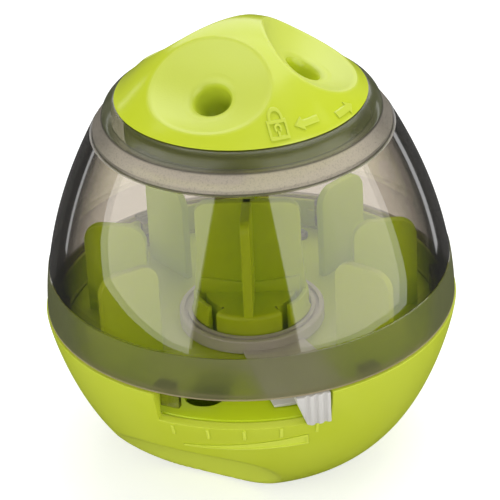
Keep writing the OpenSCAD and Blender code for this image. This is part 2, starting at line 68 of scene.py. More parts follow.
class Slot(Enum):
    """The record's material slots."""

    LIME_SHELL = "lime_shell"
    LIME_CAP = "lime_cap"
    LIME_INNER = "lime_inner"
    SMOKED = "smoked_clear"
    LEVER = "lever_white"
    IRON = "weight_iron"
    STEEL = "screw_steel"


@dataclass(frozen=True)
class Layout:
    """Heights, radii and angles that several sub-assemblies share, in millimetres and degrees."""

    seam_z: float = 43.2
    seam_r: float = 55.0
    dome_z: float = 43.5
    deck_z: float = 35.2
    deck_floor_z: float = 32.2
    deck_r: float = 50.5
    rim_in_r: float = 51.7
    neck_top_z: float = 102.7
    cap_z: float = 103.0
    bore_r: float = 31.0
    scoop_at: float = -23.0
    screw_at: float = 45.0
    screw_r: float = 44.8
    lug_at: float = -22.2
    lug_z: float = 37.0
    hook_z: float = 92.6
    hook_half: float = 26.0

    def evenly(self, first: float, count: int = 3) -> list[float]:
        """Even angles round the toy from a first one."""
        return [first + i * 360 / count for i in range(count)]


LAYOUT = Layout()


def smooth_max(a: Array, b: Array | float, width: float) -> Array:
    """The larger of two distances, rounded where they differ by less than a width."""
    near = np.maximum(width - np.abs(a - b), 0) / width
    return np.maximum(a, b) + near * near * width / 4


def meet(start: Array, rays: Array, near: float, far: float, inside: Inside) -> Array:
    """Finds by halving where rays leave a form.

    Args:
        start: One start for all the rays, or one for each.
        rays: One direction for all, or one for each.
        near: A way along the rays at which all are inside.
        far: One at which none is.
        inside: Takes points and how far along they are, and tells which are inside.

    Returns:
        One point per ray.
    """
    start, rays = np.broadcast_arrays(start, rays)
    lows, highs = np.full((len(rays), 1), near), np.full((len(rays), 1), far)
    for _ in range(HALVINGS):
        middle = (lows + highs) / 2
        kept = inside(start + rays * middle, middle[:, 0])[:, None]
        lows, highs = np.where(kept, middle, lows), np.where(kept, highs, middle)
    return start + rays * lows


def polar(r: float, at: float, z: float) -> tuple[float, float, float]:
    """The point at a radius, an angle from the front towards the right, and a height."""
    return r * sin(radians(at)), -r * cos(radians(at)), z


def skyward(azimuth: float, elevation: float) -> tuple[float, float, float]:
    """The direction at an angle from the front towards the right and an angle over the floor."""
    return polar(cos(radians(elevation)), azimuth, sin(radians(elevation)))


def stand(name: str, data: bpy.types.ID) -> bpy.types.Object:
    """Links a new object of some data to the scene."""
    obj = bpy.data.objects.new(name, data)
    bpy.context.scene.collection.objects.link(obj)
    return obj


@dataclass(frozen=True)
class Wheel:
    """The round-edged wheel whose rim shapes one dish or scoop, at an angle round the toy."""

    low: tuple[float, float]
    high: tuple[float, float]
    sag: float
    across: float
    at: float

    @property
    def chord(self) -> float:
        """Length between the dish's lower and upper edge."""
        return dist(self.low, self.high)

    @property
    def out(self) -> tuple[float, float]:
        """Outward direction as radius and height."""
        return (self.high[1] - self.low[1]) / self.chord, (self.low[0] - self.high[0]) / self.chord

    @property
    def middle(self) -> tuple[float, float]:
        """Middle of the chord as radius and height."""
        return (self.low[0] + self.high[0]) / 2, (self.low[1] + self.high[1]) / 2

    @property
    def arc(self) -> float:
        """Radius of the dish along the meridian."""
        return ((self.chord / 2) ** 2 + self.sag**2) / (2 * self.sag)

    def distance(self, points: Array) -> Array:
        """Signed distance of points from the wheel, negative inside it.

        Args:
            points: Rows of x, y, z in millimetres.

        Returns:
            One distance per row.
        """
        turn = radians(self.at)
        x = points[:, 0] * cos(turn) + points[:, 1] * sin(turn)
        front = points[:, 0] * sin(turn) - points[:, 1] * cos(turn) - self.middle[0]
        up = points[:, 2] - self.middle[1]
        outward = front * self.out[0] + up * self.out[1]
        along = front * -self.out[1] + up * self.out[0]
        round_axis = np.hypot(x, outward - (self.across - self.sag))
        return np.hypot(round_axis - (self.across - self.arc), along) - self.arc


class Form:
    """A mesh in the making, in millimetres, shaped with bmesh operators."""

    def __init__(self) -> None:
        """Starts an empty form."""
        self.bm = bmesh.new()

    def spin(self, outline: Outline, start: float = 0.0, sweep: float = 360.0,
             steps: int = 192) -> Form:
        """Spins an outline about the toy's axis.

        Args:
            outline: Points as radius and height. The last one joins the first, unless one of
                them is on the axis.
            start: First angle, from the front towards the right.
            sweep: How far to turn.
            steps: Faces round the whole sweep.

        Returns:
            This form.
        """
        verts = [self.bm.verts.new(polar(r, start, z)) for r, z in outline]
        after = verts[1:]
        if min(outline[0][0], outline[-1][0]) > 0:
            after.append(verts[0])
        edges = [self.bm.edges.new(pair) for pair in zip(verts, after)]
        full = sweep > 359.9
        bmesh.ops.spin(self.bm, geom=verts + edges, cent=(0, 0, 0), axis=(0, 0, 1), steps=steps,
                       angle=radians(sweep), use_merge=full)
        return self.tidy() if full else self.fill()

    def plate(self, outline: Outline, thickness: float, corners: Sequence[int] = (),
              corner: float = 0.0) -> Form:
        """Makes an upright plate from an outline in the XZ plane, centred on it.

        Args:
            outline: Points as x and z.
            thickness: Thickness along Y.
            corners: Which outline points are rounded.
            corner: Radius of those.

        Returns:
            This form.
        """
        verts = [self.bm.verts.new((x, -thickness / 2, z)) for x, z in outline]
        self.bm.faces.new(verts)
        if corners:
            self.bevel([verts[i] for i in corners], corner, 10, "VERTICES")
        return self.extrude((0, thickness, 0))

    def sheet(self, outline: Outline, z: float) -> Form:
        """Makes one level face from an outline as x and y."""
        self.bm.faces.new([self.bm.verts.new((x, y, z)) for x, y in outline])
        return self

    def extrude(self, move: tuple[float, float, float]) -> Form:
        """Extrudes every face by a move and closes what stays open.

        Args:
            move: How far, as x, y, z.

        Returns:
            This form.
        """
        made = bmesh.ops.extrude_face_region(self.bm, geom=self.bm.faces[:])["geom"]
        moved = [g for g in made if isinstance(g, bmesh.types.BMVert)]
        bmesh.ops.translate(self.bm, vec=move, verts=moved)
        return self.fill()

    def fill(self) -> Form:
        """Closes open loops and turns faces outwards.

        Returns:
            This form.
        """
        open_edges = [e for e in self.bm.edges if e.is_boundary]
        if open_edges:
            bmesh.ops.holes_fill(self.bm, edges=open_edges, sides=0)
        return self.tidy()

    def tidy(self) -> Form:
        """Merges doubles and turns faces outwards."""
        bmesh.ops.remove_doubles(self.bm, verts=self.bm.verts[:], dist=0.0008)
        bmesh.ops.recalc_face_normals(self.bm, faces=self.bm.faces[:])
        return self

    def soften(self, width: float, segments: int = 2, sharper: float = 30.0,
               where: Callable[[bmesh.types.BMEdge], bool] | None = None) -> Form:
        """Bevels the sharp edges.

        Args:
            width: Width of the bevel.
            segments: Faces across it.
            sharper: Least angle between an edge's faces.
            where: Test that an edge must pass too.

        Returns:
            This form.
        """
        limit = radians(sharper)
        edges = [e for e in self.bm.edges if len(e.link_faces) == 2
                 and e.calc_face_angle(0.0) > limit and (where is None or where(e))]
        return self.bevel(edges, width, segments, "EDGES")

    def bevel(self, geom: list, width: float, segments: int, affect: str) -> Form:
        """Bevels the points or the edges given."""
        bmesh.ops.bevel(self.bm, geom=geom, offset=width, offset_type="OFFSET", segments=segments,
                        profile=0.5, affect=affect, material=-1, clamp_overlap=affect == "EDGES")
        return self

    def turn(self, degrees: float) -> Form:
        """Turns the form about the toy's axis, towards the right."""
        bmesh.ops.rotate(self.bm, verts=self.bm.verts[:], cent=(0, 0, 0),
                         matrix=Matrix.Rotation(radians(degrees), 3, "Z"))
        return self

    def back(self, way: float) -> Form:
        """Moves the form backwards, along Y."""
        bmesh.ops.translate(self.bm, verts=self.bm.verts[:], vec=(0, way, 0))
        return self

    def slices(self, axis: int, pitch: float) -> Form:
        """Cuts new edges across the form at an even pitch along one axis.

        Args:
            axis: Number of the axis.
            pitch: Space between the cuts.

        Returns:
            This form.
        """
        values = [v.co[axis] for v in self.bm.verts]
        normal = [float(i == axis) for i in range(3)]
        for i in range(1, int((max(values) - min(values)) / pitch) + 1):
            self.slice([c * (min(values) + i * pitch) for c in normal], normal)
        return self

    def slice(self, point: Sequence[float], normal: Sequence[float], off: bool = False) -> Form:
        """Cuts new edges along a plane, and cuts off what lies beyond it if asked to."""
        bmesh.ops.bisect_plane(self.bm, geom=self.bm.verts[:] + self.bm.edges[:] + self.bm.faces[:],
                               plane_co=point, plane_no=normal, clear_outer=off)
        return self

    def copy(self) -> Form:
        """A second form like this one.

        Returns:
            The copy.
        """
        twin = Form()
        twin.bm.free()
        twin.bm = self.bm.copy()
        return twin

    def add(self, *others: Form) -> Form:
        """Takes other forms in as shells of their own.

        Args:
            *others: The forms, which end here.

        Returns:
            This form.
        """
        for other in others:
            mesh = other.mesh("shell")
            other.bm.free()
            self.bm.from_mesh(mesh)
            bpy.data.meshes.remove(mesh)
        return self

    def cut(self, *tools: Form) -> Form:
        """Cuts other forms out of this one.

        Args:
            *tools: The forms.

        Returns:
            This form.
        """
        body = stand("body", self.mesh("body"))
        for tool in tools:
            change = body.modifiers.new("cut", "BOOLEAN")
            change.operation, change.solver = "DIFFERENCE", "EXACT"
            change.object = stand("tool", tool.mesh("tool"))
        view = body.evaluated_get(bpy.context.evaluated_depsgraph_get())
        mesh = bpy.data.meshes.new_from_object(view)
        self.bm.clear()
        self.bm.from_mesh(mesh)
        bpy.data.meshes.remove(mesh)
        for change in body.modifiers:
            bpy.data.objects.remove(change.object)
        bpy.data.objects.remove(body)
        return self.tidy()

    def mesh(self, name: str) -> bpy.types.Mesh:
        """A mesh of the form as it is now."""
        mesh = bpy.data.meshes.new(name)
        self.bm.to_mesh(mesh)
        return mesh

    def prop(self, name: str, material: bpy.types.Material) -> bpy.types.Object:
        """Ends the form, already in metres, as a piece of the studio.

        Args:
            name: Its name.
            material: Its finish.

        Returns:
            The piece's object.
        """
        obj = stand(name, self.mesh(name))
        obj.data.materials.append(material)
        self.bm.free()
        return obj

    def points(self) -> Array:
        """Every point as a row of x, y, z."""
        return np.array([v.co[:] for v in self.bm.verts], float).reshape(-1, 3)

    def place(self, points: Array) -> Form:
        """Puts every point where its row says."""
        for vert, row in zip(self.bm.verts, points):
            vert.co = row
        return self

    def settle(self, centre_z: float, surface: Surface, near: float, far: float) -> Form:
        """Slides every point along its ray from a point on the axis until it meets a surface.

        Args:
            centre_z: Height of the rays' start.
            surface: Takes points and how far each is past its old place, and gives distances.
            near: Least distance from the start, in millimetres.
            far: Most distance.

        Returns:
            This form.
        """
        centre = np.array((0.0, 0.0, centre_z))
        rays = self.points() - centre
        old = np.linalg.norm(rays, axis=1)
        rays /= old[:, None]
        return self.place(meet(centre, rays, near, far, lambda p, way: surface(p, way - old) < 0))

    def wrap(self, surface: Surface) -> Form:
        """Lays a form drawn in the XZ plane on a surface, with its Y as the height over it.

        Args:
            surface: Takes points and gives distances.

        Returns:
            This form.
        """
        points = self.points()
        flat, up = points * (1, 0, 1), np.array((0.0, -1.0, 0.0))
        return self.place(meet(flat, up, 8.0, 60.0,
                               lambda p, way: surface(p, way) < -points[:, 1])).tidy()

    def mark(self, name: str, values: Array | float) -> Form:
        """Writes a value from 0 to 1 on every point, for a finish to read.

        Args:
            name: The attribute's name.
            values: One value per point, or one for all.

        Returns:
            This form.
        """
        layer = self.bm.verts.layers.float.new(name)
        for vert, value in zip(self.bm.verts, np.broadcast_to(values, len(self.bm.verts))):
            vert[layer] = float(value)
        return self

    def piece(self, name: str, body: Body, slot: Slot, material: bpy.types.Material,
              replaces: Sequence[str] = (), sharp: float = 35.0) -> bpy.types.Object:
        """Ends the form as a piece of the toy, in metres.

        Args:
            name: Name of the piece.
            body: The body that it rides on.
            slot: The record's slot for its finish; not used.
            material: Its finish.
            replaces: CAD nodes that it stands for.
            sharp: Angle over which an edge stays sharp.

        Returns:
            The piece's object.
        """
        self.tidy()
        bmesh.ops.scale(self.bm, vec=(MM, MM, MM), verts=self.bm.verts[:])
        mesh = self.mesh(name)
        self.bm.free()
        mesh.shade_smooth()
        mesh.set_sharp_from_angle(angle=radians(sharp))
        mesh.materials.append(material)
        obj = stand(name, mesh)
        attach(obj, body.value)
        if replaces:
            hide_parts(*replaces)
        log.info("%s: %d faces on %s", name, len(mesh.polygons), body.value)
        return obj


def rectangle(x0: float, x1: float, z0: float, z1: float) -> list[tuple[float, float]]:
    """The outline of a rectangle from one radius or x and height to another."""
    return [(x0, z0), (x1, z0), (x1, z1), (x0, z1)]


def arc_bar(outline: Outline, start: float, end: float, steps: int = 12) -> Form:
    """A bar that follows the toy's axis from one angle to another."""
    return Form().spin(outline, start, end - start, steps)


def cylinder(r: float, z0: float, z1: float, steps: int = 48) -> Form:
    """A plain round bar on the toy's axis."""
    return Form().spin([(0.0, z0), (r, z0), (r, z1), (0.0, z1)], steps=steps)


def linear(colour: Colour) -> tuple[float, float, float, float]:
    """A written colour of 0 to 255 as the linear values that a shader takes."""
    parts = [c / 255 for c in colour]
    lin = [c / 12.92 if c <= 0.04045 else ((c + 0.055) / 1.055) ** 2.4 for c in parts]
    return lin[0], lin[1], lin[2], 1.0


def operator(operation: str, swapped: bool = False) -> Callable[[Wire, Wire | float], Wire]:
    """Makes a method that adds one Math node.

    Args:
        operation: What the node does.
        swapped: Whether the method's own wire comes second.

    Returns:
        The method, which takes another wire or a number.
    """
    def method(self: Wire, other: Wire | float) -> Wire:
        """Adds the node."""
        a, b = (other, self) if swapped else (self, other)
        return self.shader.wire("Math", {0: a, 1: b}, operation=operation)
    return method


@dataclass(frozen=True)
class Wire:
    """A number in a shader, on which Python's operators add Math nodes."""

    shader: Shader
    socket: bpy.types.NodeSocket

    __add__ = __radd__ = operator("ADD")
    __sub__ = operator("SUBTRACT")
    __rsub__ = operator("SUBTRACT", True)
    __mul__ = __rmul__ = operator("MULTIPLY")
    at_most = operator("MINIMUM")
    at_least = operator("MAXIMUM")


class Shader:
    """The node tree of a material or a world in the making."""

    def __init__(self, holder: bpy.types.Material | bpy.types.World) -> None:
        """Starts an empty tree.

        Args:
            holder: The material or world that it belongs to.
        """
        self.holder = holder
        self.holder.use_nodes = True
        self.tree = self.holder.node_tree
        self.tree.nodes.clear()
        self.coords = self.node("TexCoord").outputs["Object"]

    def node(self, kind: str, inputs: Inputs | None = None, **settings: str) -> bpy.types.Node:
        """Adds one node.

        Args:
            kind: Its type, without the word that every type starts with.
            inputs: Values, sockets or wires for its inputs, by name or number.
            **settings: Values of its own, set first.

        Returns:
            The node.
        """
        node = self.tree.nodes.new(f"ShaderNode{kind}")
        for name, value in settings.items():
            setattr(node, name, value)
        for key, value in (inputs or {}).items():
            socket = value.socket if isinstance(value, Wire) else value
            if isinstance(socket, bpy.types.NodeSocket):
                self.tree.links.new(socket, node.inputs[key])
            else:
                node.inputs[key].default_value = socket
        return node

    def wire(self, kind: str, inputs: Inputs, output: str | int = 0, **settings: str) -> Wire:
        """Adds one node and gives one of its outputs to reckon with."""
        return Wire(self, self.node(kind, inputs, **settings).outputs[output])

    def noise(self, scale: float, detail: float = 2.0, roughness: float = 0.5) -> Wire:
        """Noise over the piece, with a scale per metre."""
        return self.wire("TexNoise", {"Vector": self.coords, "Scale": scale, "Detail": detail,
                                      "Roughness": roughness})

    def height(self) -> Wire:
        """Height over the foot in metres."""
        return self.wire("SeparateXYZ", {0: self.coords}, "Z")

    def rise(self, value: Wire, low: float, high: float) -> Wire:
        """Goes smoothly from 0 to 1 while a value goes from low to high."""
        return self.wire("MapRange", {"Value": value, "From Min": low, "From Max": high},
                         interpolation_type="SMOOTHSTEP")

    def attribute(self, name: str) -> Wire:
        """A value that the mesh carries."""
        return self.wire("Attribute", {}, "Fac", attribute_name=name)

    def blend(self, factor: Wire, a: object, b: object) -> bpy.types.NodeSocket:
        """A mix of two colours."""
        return self.node("Mix", {0: factor, 6: a, 7: b}, data_type="RGBA").outputs[2]

    def bump(self, height: Wire, distance: float) -> bpy.types.NodeSocket:
        """A bumped normal, with the bump's depth in metres."""
        return self.node("Bump", {"Distance": distance, "Height": height}).outputs["Normal"]

    def mix(self, factor: Wire | float, a: bpy.types.Node, b: bpy.types.Node) -> bpy.types.Node:
        """A mix of two shaders."""
        return self.node("MixShader", {0: factor, 1: a.outputs[0], 2: b.outputs[0]})

    def rays(self, *names: str) -> Wire:
        """Goes to 1 on rays of any of the kinds named.

        Args:
            *names: Outputs of the Light Path node.

        Returns:
            The larger of them.
        """
        path = self.node("LightPath")
        kinds = [Wire(self, path.outputs[name]) for name in names]
        total = kinds[0]
        for kind in kinds[1:]:
            total = total.at_least(kind)
        return total

    def end(self, surface: bpy.types.Node) -> bpy.types.Material | bpy.types.World:
        """Joins a shader to the output and gives the material or world."""
        kind = "World" if isinstance(self.holder, bpy.types.World) else "Material"
        self.node(f"Output{kind}", {"Surface": surface.outputs[0]})
        return self.holder


@dataclass(frozen=True)
class MouldedFinish:
    """Opaque moulded plastic, plain or with finely sparked dishes marked on the mesh."""

    name: str
    colour: Colour
    pale: Colour
    roughness: float
    sparked: bool = False
    through: float = 0.0
    grain: float = 0.000012

    def material(self) -> bpy.types.Material:
        """Builds the plastic.

        Returns:
            The material.
        """
        s = Shader(bpy.data.materials.new(self.name))
        cloud = s.noise(45.0, 3.0)
        fine = s.noise(2600.0, 2.0, 0.65)
        tone = s.rise(cloud, 0.3, 0.7) * 0.35
        rough = cloud * 0.08 + (self.roughness - 0.04)
        relief = fine * 0.25
        if self.sparked:
            matt = s.attribute("matt")
            # The edge attribute lifts the colour towards pale: a painted highlight along the
            # scoops' ridges.
            tone = (tone + matt * (fine * 0.5 + 0.3) + s.attribute("edge") * 0.75).at_most(1.0)
            rough = rough + matt * 0.22
            relief = relief + matt * fine * 2.4
        base = s.blend(tone, linear(self.colour), linear(self.pale))
        solid = s.node("BsdfPrincipled", {
            "Base Color": base, "Roughness": rough, "IOR": 1.5, "Specular IOR Level": 0.5,
            "Normal": s.bump(relief, self.grain)})
        if not self.through:
            return s.end(solid)
        return s.end(s.mix(self.through, solid, s.node("BsdfTranslucent", {"Color": base})))


@dataclass(frozen=True)
class SmokedFinish:
    """Smoked clear plastic whose foot band and neck are frosted and whose top roll is dark, with
    painted shade at its outline and in two neck lines, and a painted highlight line at its foot.
    """

    name: str = "smoked_plastic"
    tint: Colour = (239, 235, 229)
    airy: Colour = (243, 241, 237)
    # Painted shade: the colour the shell turns to towards its outline and in the crease lines.
    shade: Colour = (20, 20, 18)
    band: Colour = (104, 108, 70)
    neck: Colour = (220, 209, 190)
    roll: Colour = (88, 92, 50)
    # Painted highlight: colour of the thin line just over the dome's foot.
    rim: Colour = (164, 150, 120)
    foot_z: float = 0.0436
    band_z: float = 0.0554
    neck_z: float = 0.0937
    roll_z: float = 0.0984

    def material(self) -> bpy.types.Material:
        """Builds the plastic.

        Returns:
            The material.
        """
        s = Shader(bpy.data.materials.new(self.name))
        z = s.height()
        facing = s.wire("LayerWeight", {"Blend": 0.5}, "Facing")
        foot = s.rise(z, self.foot_z - 0.0002, self.foot_z)
        # rim: a thin painted highlight line just over the dome's foot, where its edge would catch
        # light.
        rim = foot * (1 - s.rise(z, self.foot_z + 0.0004, self.foot_z + 0.0007))
        low = foot * (1 - s.rise(z, self.band_z - 0.0002, self.band_z + 0.0001))
        roll = s.rise(z, self.roll_z - 0.0001, self.roll_z + 0.0002)
        neck = s.rise(z, self.neck_z - 0.0002, self.neck_z + 0.0001) * (1 - roll)
        # crease: two thin painted shade lines, one at the neck's foot and one just under the roll,
        # drawn in the shade colour.
        crease = neck * (1 - s.rise(z, self.neck_z + 0.0002, self.neck_z + 0.0004))
        crease = crease.at_least(s.rise(z, self.roll_z - 0.0006, self.roll_z - 0.0001) * (1 - roll))
        grain = s.noise(2100.0, 3.0, 0.75)
        frost = (low + neck).at_most(1.0)
        back = s.wire("NewGeometry", {}, "Backfacing").at_least(s.attribute("inner"))
        # side: painted shade. Towards its outline, where the shell turns from the camera, it goes
        # an opaque dark grey, and the band and roll colours blend towards that grey.
        side = s.rise(facing, 0.3, 0.66) * (1 - back)
        turned = s.rise(facing, 0.1, 0.6)
        body = (side * 0.95 + 0.02).at_least(low * (turned * 0.15 + 0.46) * (1 - back * 0.9))
        body = body.at_least(neck * (turned * 0.4 + 0.45)).at_least(roll * (side * 0.3 + 0.4))
        body = body.at_least(crease * 0.85).at_least(rim * 0.7)
        colour = s.blend(low * (1 - side * 0.3), linear(self.shade), linear(self.band))
        speckled = neck * (grain * 2.6 - 0.3).at_most(1.0).at_least(0.4)
        # Painted shade on the neck's flanks: its speckled colour gives way to the darker colour
        # where the neck turns from the camera.
        for share, over in ((speckled * (1 - turned * 0.75), self.neck),
                            (roll * (1 - side * 0.4), self.roll),
                            (crease * 0.85, self.shade), (rim, self.rim)):
            colour = s.blend(share, colour, linear(over))
        solid = s.node("BsdfPrincipled", {
            "Base Color": colour, "Roughness": frost * 0.3 + 0.12, "Specular IOR Level": 0.12,
            "Normal": s.bump(grain * frost, 0.00006)})
        tint, airy = linear(self.tint), linear(self.airy)
        clear = s.mix(s.rays("Is Shadow Ray", "Is Diffuse Ray"),
                      s.node("BsdfTransparent", {"Color": tint}),
                      s.node("BsdfTransparent", {"Color": airy}))
        milky = s.node("BsdfRefraction", {"Color": tint, "Roughness": 0.5, "IOR": 1.3})
        shell = s.mix(body, s.mix(frost * (1 - back * 0.85) * 0.8, clear, milky), solid)
        mirror = s.node("BsdfGlossy", {"Color": WHITE, "Roughness": roll * 0.3 + 0.02})
        fresnel = s.wire("Fresnel", {"IOR": 1.65})
        return s.end(s.mix((fresnel * (1 - frost) * (1 - roll * 0.4)).at_most(0.1), shell, mirror))


@dataclass(frozen=True)
class MetalFinish:
    """Painted iron or zinc-plated steel."""

    name: str
    colour: Colour
    pale: Colour
    metallic: float
    roughness: float
    grain_scale: float
    relief: float

    def material(self) -> bpy.types.Material:
        """Builds the metal.

        Returns:
            The material.
        """
        s = Shader(bpy.data.materials.new(self.name))
        grain = s.noise(self.grain_scale, 4.0, 0.6)
        wear = s.noise(90.0, 3.0)
        return s.end(s.node("BsdfPrincipled", {
            "Base Color": s.blend(s.rise(wear, 0.35, 0.7), linear(self.colour), linear(self.pale)),
            "Metallic": self.metallic, "Roughness": grain * 0.2 + self.roughness,
            "Normal": s.bump(grain, self.relief)}))


LIME_SHELL = MouldedFinish("lime_bowl_plastic", (202, 215, 50), (210, 221, 74), 0.34, True, 0.15)
LIME_MARK = MouldedFinish("lime_mark_plastic", (206, 218, 70), (214, 225, 90), 0.3)
LIME_CAP = MouldedFinish("lime_cap_plastic", (197, 211, 46), (202, 214, 84), 0.2, True, 0.1)
LIME_INNER = MouldedFinish("lime_inner_plastic", (200, 222, 14), (208, 228, 34), 0.32, False, 0.12)
LEVER_WHITE = MouldedFinish("lever_plastic", (199, 196, 190), (210, 208, 203), 0.34)
IRON = MetalFinish("weight_paint", (52, 53, 55), (84, 84, 86), 0.35, 0.5, 900.0, 0.00012)
STEEL = MetalFinish("screw_plating", (150, 150, 154), (190, 190, 194), 1.0, 0.22, 1500.0, 0.00001)


@dataclass
class Scooped:
    """A round shell that narrows from its wide end and has three scoops taken out of it."""

    wide_r: float
    wide_z: float
    depth: float
    power: float
    roundness: float
    low_z: float
    high_z: float
    sag: float
    across: float
    ridge: float
    first: float
    wall: float = 2.2
    emboss: float = 0.35

    def radius(self, z: float) -> float:
        """Outer radius at a height, before the scoops."""
        share = max(0.0, (z - self.wide_z) / self.depth)
        return self.wide_r * max(0.0, 1 - share**self.power) ** (1 / self.roundness)

    def wheels(self) -> list[Wheel]:
        """The wheels that shape the scoops."""
        low, high = ((self.radius(z), z) for z in (self.low_z, self.high_z))
        return [Wheel(low, high, self.sag, self.across, at) for at in LAYOUT.evenly(self.first)]

    def scooped(self, points: Array) -> Array:
        """Distance of points to the nearest scoop's wheel."""
        return np.min([w.distance(points) for w in self.wheels()], axis=0)

    def past(self, points: Array) -> Array:
        """Distance of points past the shell's outside, before the scoops.

        Args:
            points: Rows of x, y, z in millimetres.

        Returns:
            One distance per row.
        """
        share = np.maximum((points[:, 2] - self.wide_z) / self.depth, 1e-6)
        r = np.maximum(np.hypot(points[:, 0], points[:, 1]) / self.wide_r, 1e-4)
        slope = np.hypot(self.power * share ** (self.power - 1) / self.depth,
                         self.roundness * r ** (self.roundness - 1) / self.wide_r)
        return (share**self.power + r**self.roundness - 1) / np.maximum(slope, 1e-4)

    def surface(self, points: Array, _: Array) -> Array:
        """Distance of points past the outside, with soft ridges round the scoops."""
        return smooth_max(self.past(points), -self.scooped(points), self.ridge)

    def dress(self, form: Form, start: float, soft: float, line: float,
              over: Callable[[Array], Array]) -> None:
        """Marks the scoops as matt and paints a pale highlight line along their edges.

        Args:
            form: The finished shell.
            start: Where the matt begins, in soft widths.
            soft: Width over which it fades.
            line: Half the width of the painted highlight line.
            over: Takes heights and tells where the outside is.
        """
        points = form.points()
        gap, outside = self.scooped(points), over(points[:, 2])
        form.mark("matt", np.clip(start - gap / soft, 0, 1) * outside)
        # edge: a painted highlight line along each scoop's ridge.
        form.mark("edge", np.exp(-((gap - line + 0.15) / line) ** 2) * outside)


@dataclass
class Bowl(Scooped):
    """The lime bowl: scooped shell, deck ledge, lever window with its lip, dial marks and posts."""

    wide_r: float = LAYOUT.seam_r
    wide_z: float = LAYOUT.seam_z
    depth: float = 0.0
    power: float = 1.2
    roundness: float = 4.0
    low_z: float = 0.25
    high_z: float = 22.4
    sag: float = 6.2
    across: float = 62.0
    ridge: float = 0.9
    first: float = LAYOUT.scoop_at
    foot_r: float = 26.0
    floor: float = 3.0
    foot_edge: float = 1.6
    scoops_under: float = 30.0
    window_half: float = 24.5
    lip_in_r: float = 51.1
    lip_drop: float = 0.4
    lip_slope: float = 0.5
    tick_step: float = 10.3

    def __post_init__(self) -> None:
        """Reckons how far below the seam the bowl's curve would close, from the foot's radius."""
        closed = 1 - (self.foot_r / self.wide_r) ** self.roundness
        self.depth = -self.wide_z / closed ** (1 / self.power)

    def past(self, points: Array) -> Array:
        """Distance of points past the bowl's outside with its foot, before the scoops."""
        return smooth_max(super().past(points), -points[:, 2], self.foot_edge)

    def inside(self, points: Array, past: Array) -> Array:
        """Distance past the inner wall, which steps back behind the scoops."""
        return smooth_max(past, self.wall - self.scooped(points), 0.6)

    def outer_shell(self) -> Form:
        """The outside from the foot to the seam.

        Returns:
            The open shell.
        """
        outline = [(self.wide_r * cos(a), self.wide_z * (1 - sin(a)))
                   for a in np.linspace(pi / 2, 0, 111)]
        form = Form().spin([(0.0, 0.0), *outline[1:]], steps=360)
        return form.settle(self.wide_z, self.surface, 4.0, 75.0)

    def inner_shell(self) -> Form:
        """The inside from the rim over the deck's ledge to the floor.

        Returns:
            The open shell.
        """
        seat, ledge, rim_r = LAYOUT.deck_r + 0.3, LAYOUT.deck_r - 1.3, LAYOUT.rim_in_r
        deck_z, top_z = LAYOUT.deck_z, LAYOUT.deck_floor_z
        heights = top_z - (top_z - self.floor) * np.sin(np.linspace(0, pi / 2, 29))
        wall = [(min(self.radius(z) - self.wall, ledge) - (top_z - z) * 0.04, z) for z in heights]
        outline = [(self.wide_r, self.wide_z), (rim_r, self.wide_z), (rim_r, deck_z),
                   (seat, deck_z), (seat, top_z), *wall, (0.0, self.floor)]
        form = Form().spin(outline, steps=360)
        kept = form.points()
        moved = form.settle(self.wide_z, self.inside, 2.0, 75.0).points()
        return form.place(np.where(kept[:, 2:] < top_z - 0.5, moved, kept))

    def window(self) -> Form:
        """What the lever window takes out, with its sloping lip.

        Returns:
            The tool.
        """
        low, high, out_r = LAYOUT.deck_z - self.lip_drop, self.wide_z + 2, self.wide_r + 2
        lip_z = low - (out_r - self.lip_in_r) * self.lip_slope
        return arc_bar([(LAYOUT.deck_r, low), (self.lip_in_r, low), (out_r, lip_z), (out_r, high),
                        (LAYOUT.deck_r, high)], -self.window_half, self.window_half, 49)

    def marks(self) -> list[Form]:
        """Five dial strokes and the wedge under them, raised on the bowl.

        Returns:
            One form per raised shape.
        """
        strokes = []
        for i in range(-2, 3):
            stroke = Form().plate(rectangle(-0.4, 0.4, 30.0, 33.4), 0.9)
            stroke.back(0.45 - self.emboss).slices(2, 0.8).soften(0.28)
            strokes.append(stroke.wrap(self.surface).turn(i * self.tick_step))
        outer = [(-16.0, 26.1), (16.0, 26.1), (16.0, 29.8), (-16.0, 26.6)]
        inner = [(-12.5, 26.65), (15.4, 26.65), (15.4, 29.1), (-12.5, 26.75)]
        border = Form().plate(outer, 0.9).back(0.45 - self.emboss)
        border.cut(Form().plate(inner, 2.0)).slices(0, 1.6).soften(0.12)
        ground = Form().plate(outer, 0.5).back(0.25 - self.emboss * 0.35).slices(0, 1.6)
        return [*strokes, border.wrap(self.surface), ground.wrap(self.surface)]

    def fittings(self) -> list[Form]:
        """Posts, pin and the bead that the dome's lugs hook under.

        Returns:
            One form per piece.
        """
        forms = [cylinder(2.6, self.floor - 0.5, self.floor + 6.0)]
        heights = np.linspace(0.0, LAYOUT.deck_floor_z, 80)
        radii = [self.radius(z) for z in heights]
        for at in LAYOUT.evenly(LAYOUT.screw_at):
            post = cylinder(3.2, 9.5, LAYOUT.deck_floor_z).back(-LAYOUT.screw_r)
            points = post.points()
            foot = np.interp(np.hypot(points[:, 0], points[:, 1]) + self.wall / 2, radii, heights)
            points[:, 2] = np.where(points[:, 2] < 10, foot, points[:, 2])
            forms += [post.place(points).turn(at),
                      cylinder(3.0, self.floor - 0.5, 14.7).back(-27.4).turn(at)]
        for at in LAYOUT.evenly(LAYOUT.lug_at, 6)[1:]:
            bead = arc_bar(rectangle(50.8, 52.2, 38.9, 40.7), at - 10, at + 6.6)
            stop = arc_bar(rectangle(50.8, 52.2, LAYOUT.lug_z, 39.2), at + 3.6, at + 5.4, 3)
            forms += [bead.soften(0.2), stop.soften(0.2)]
        return forms

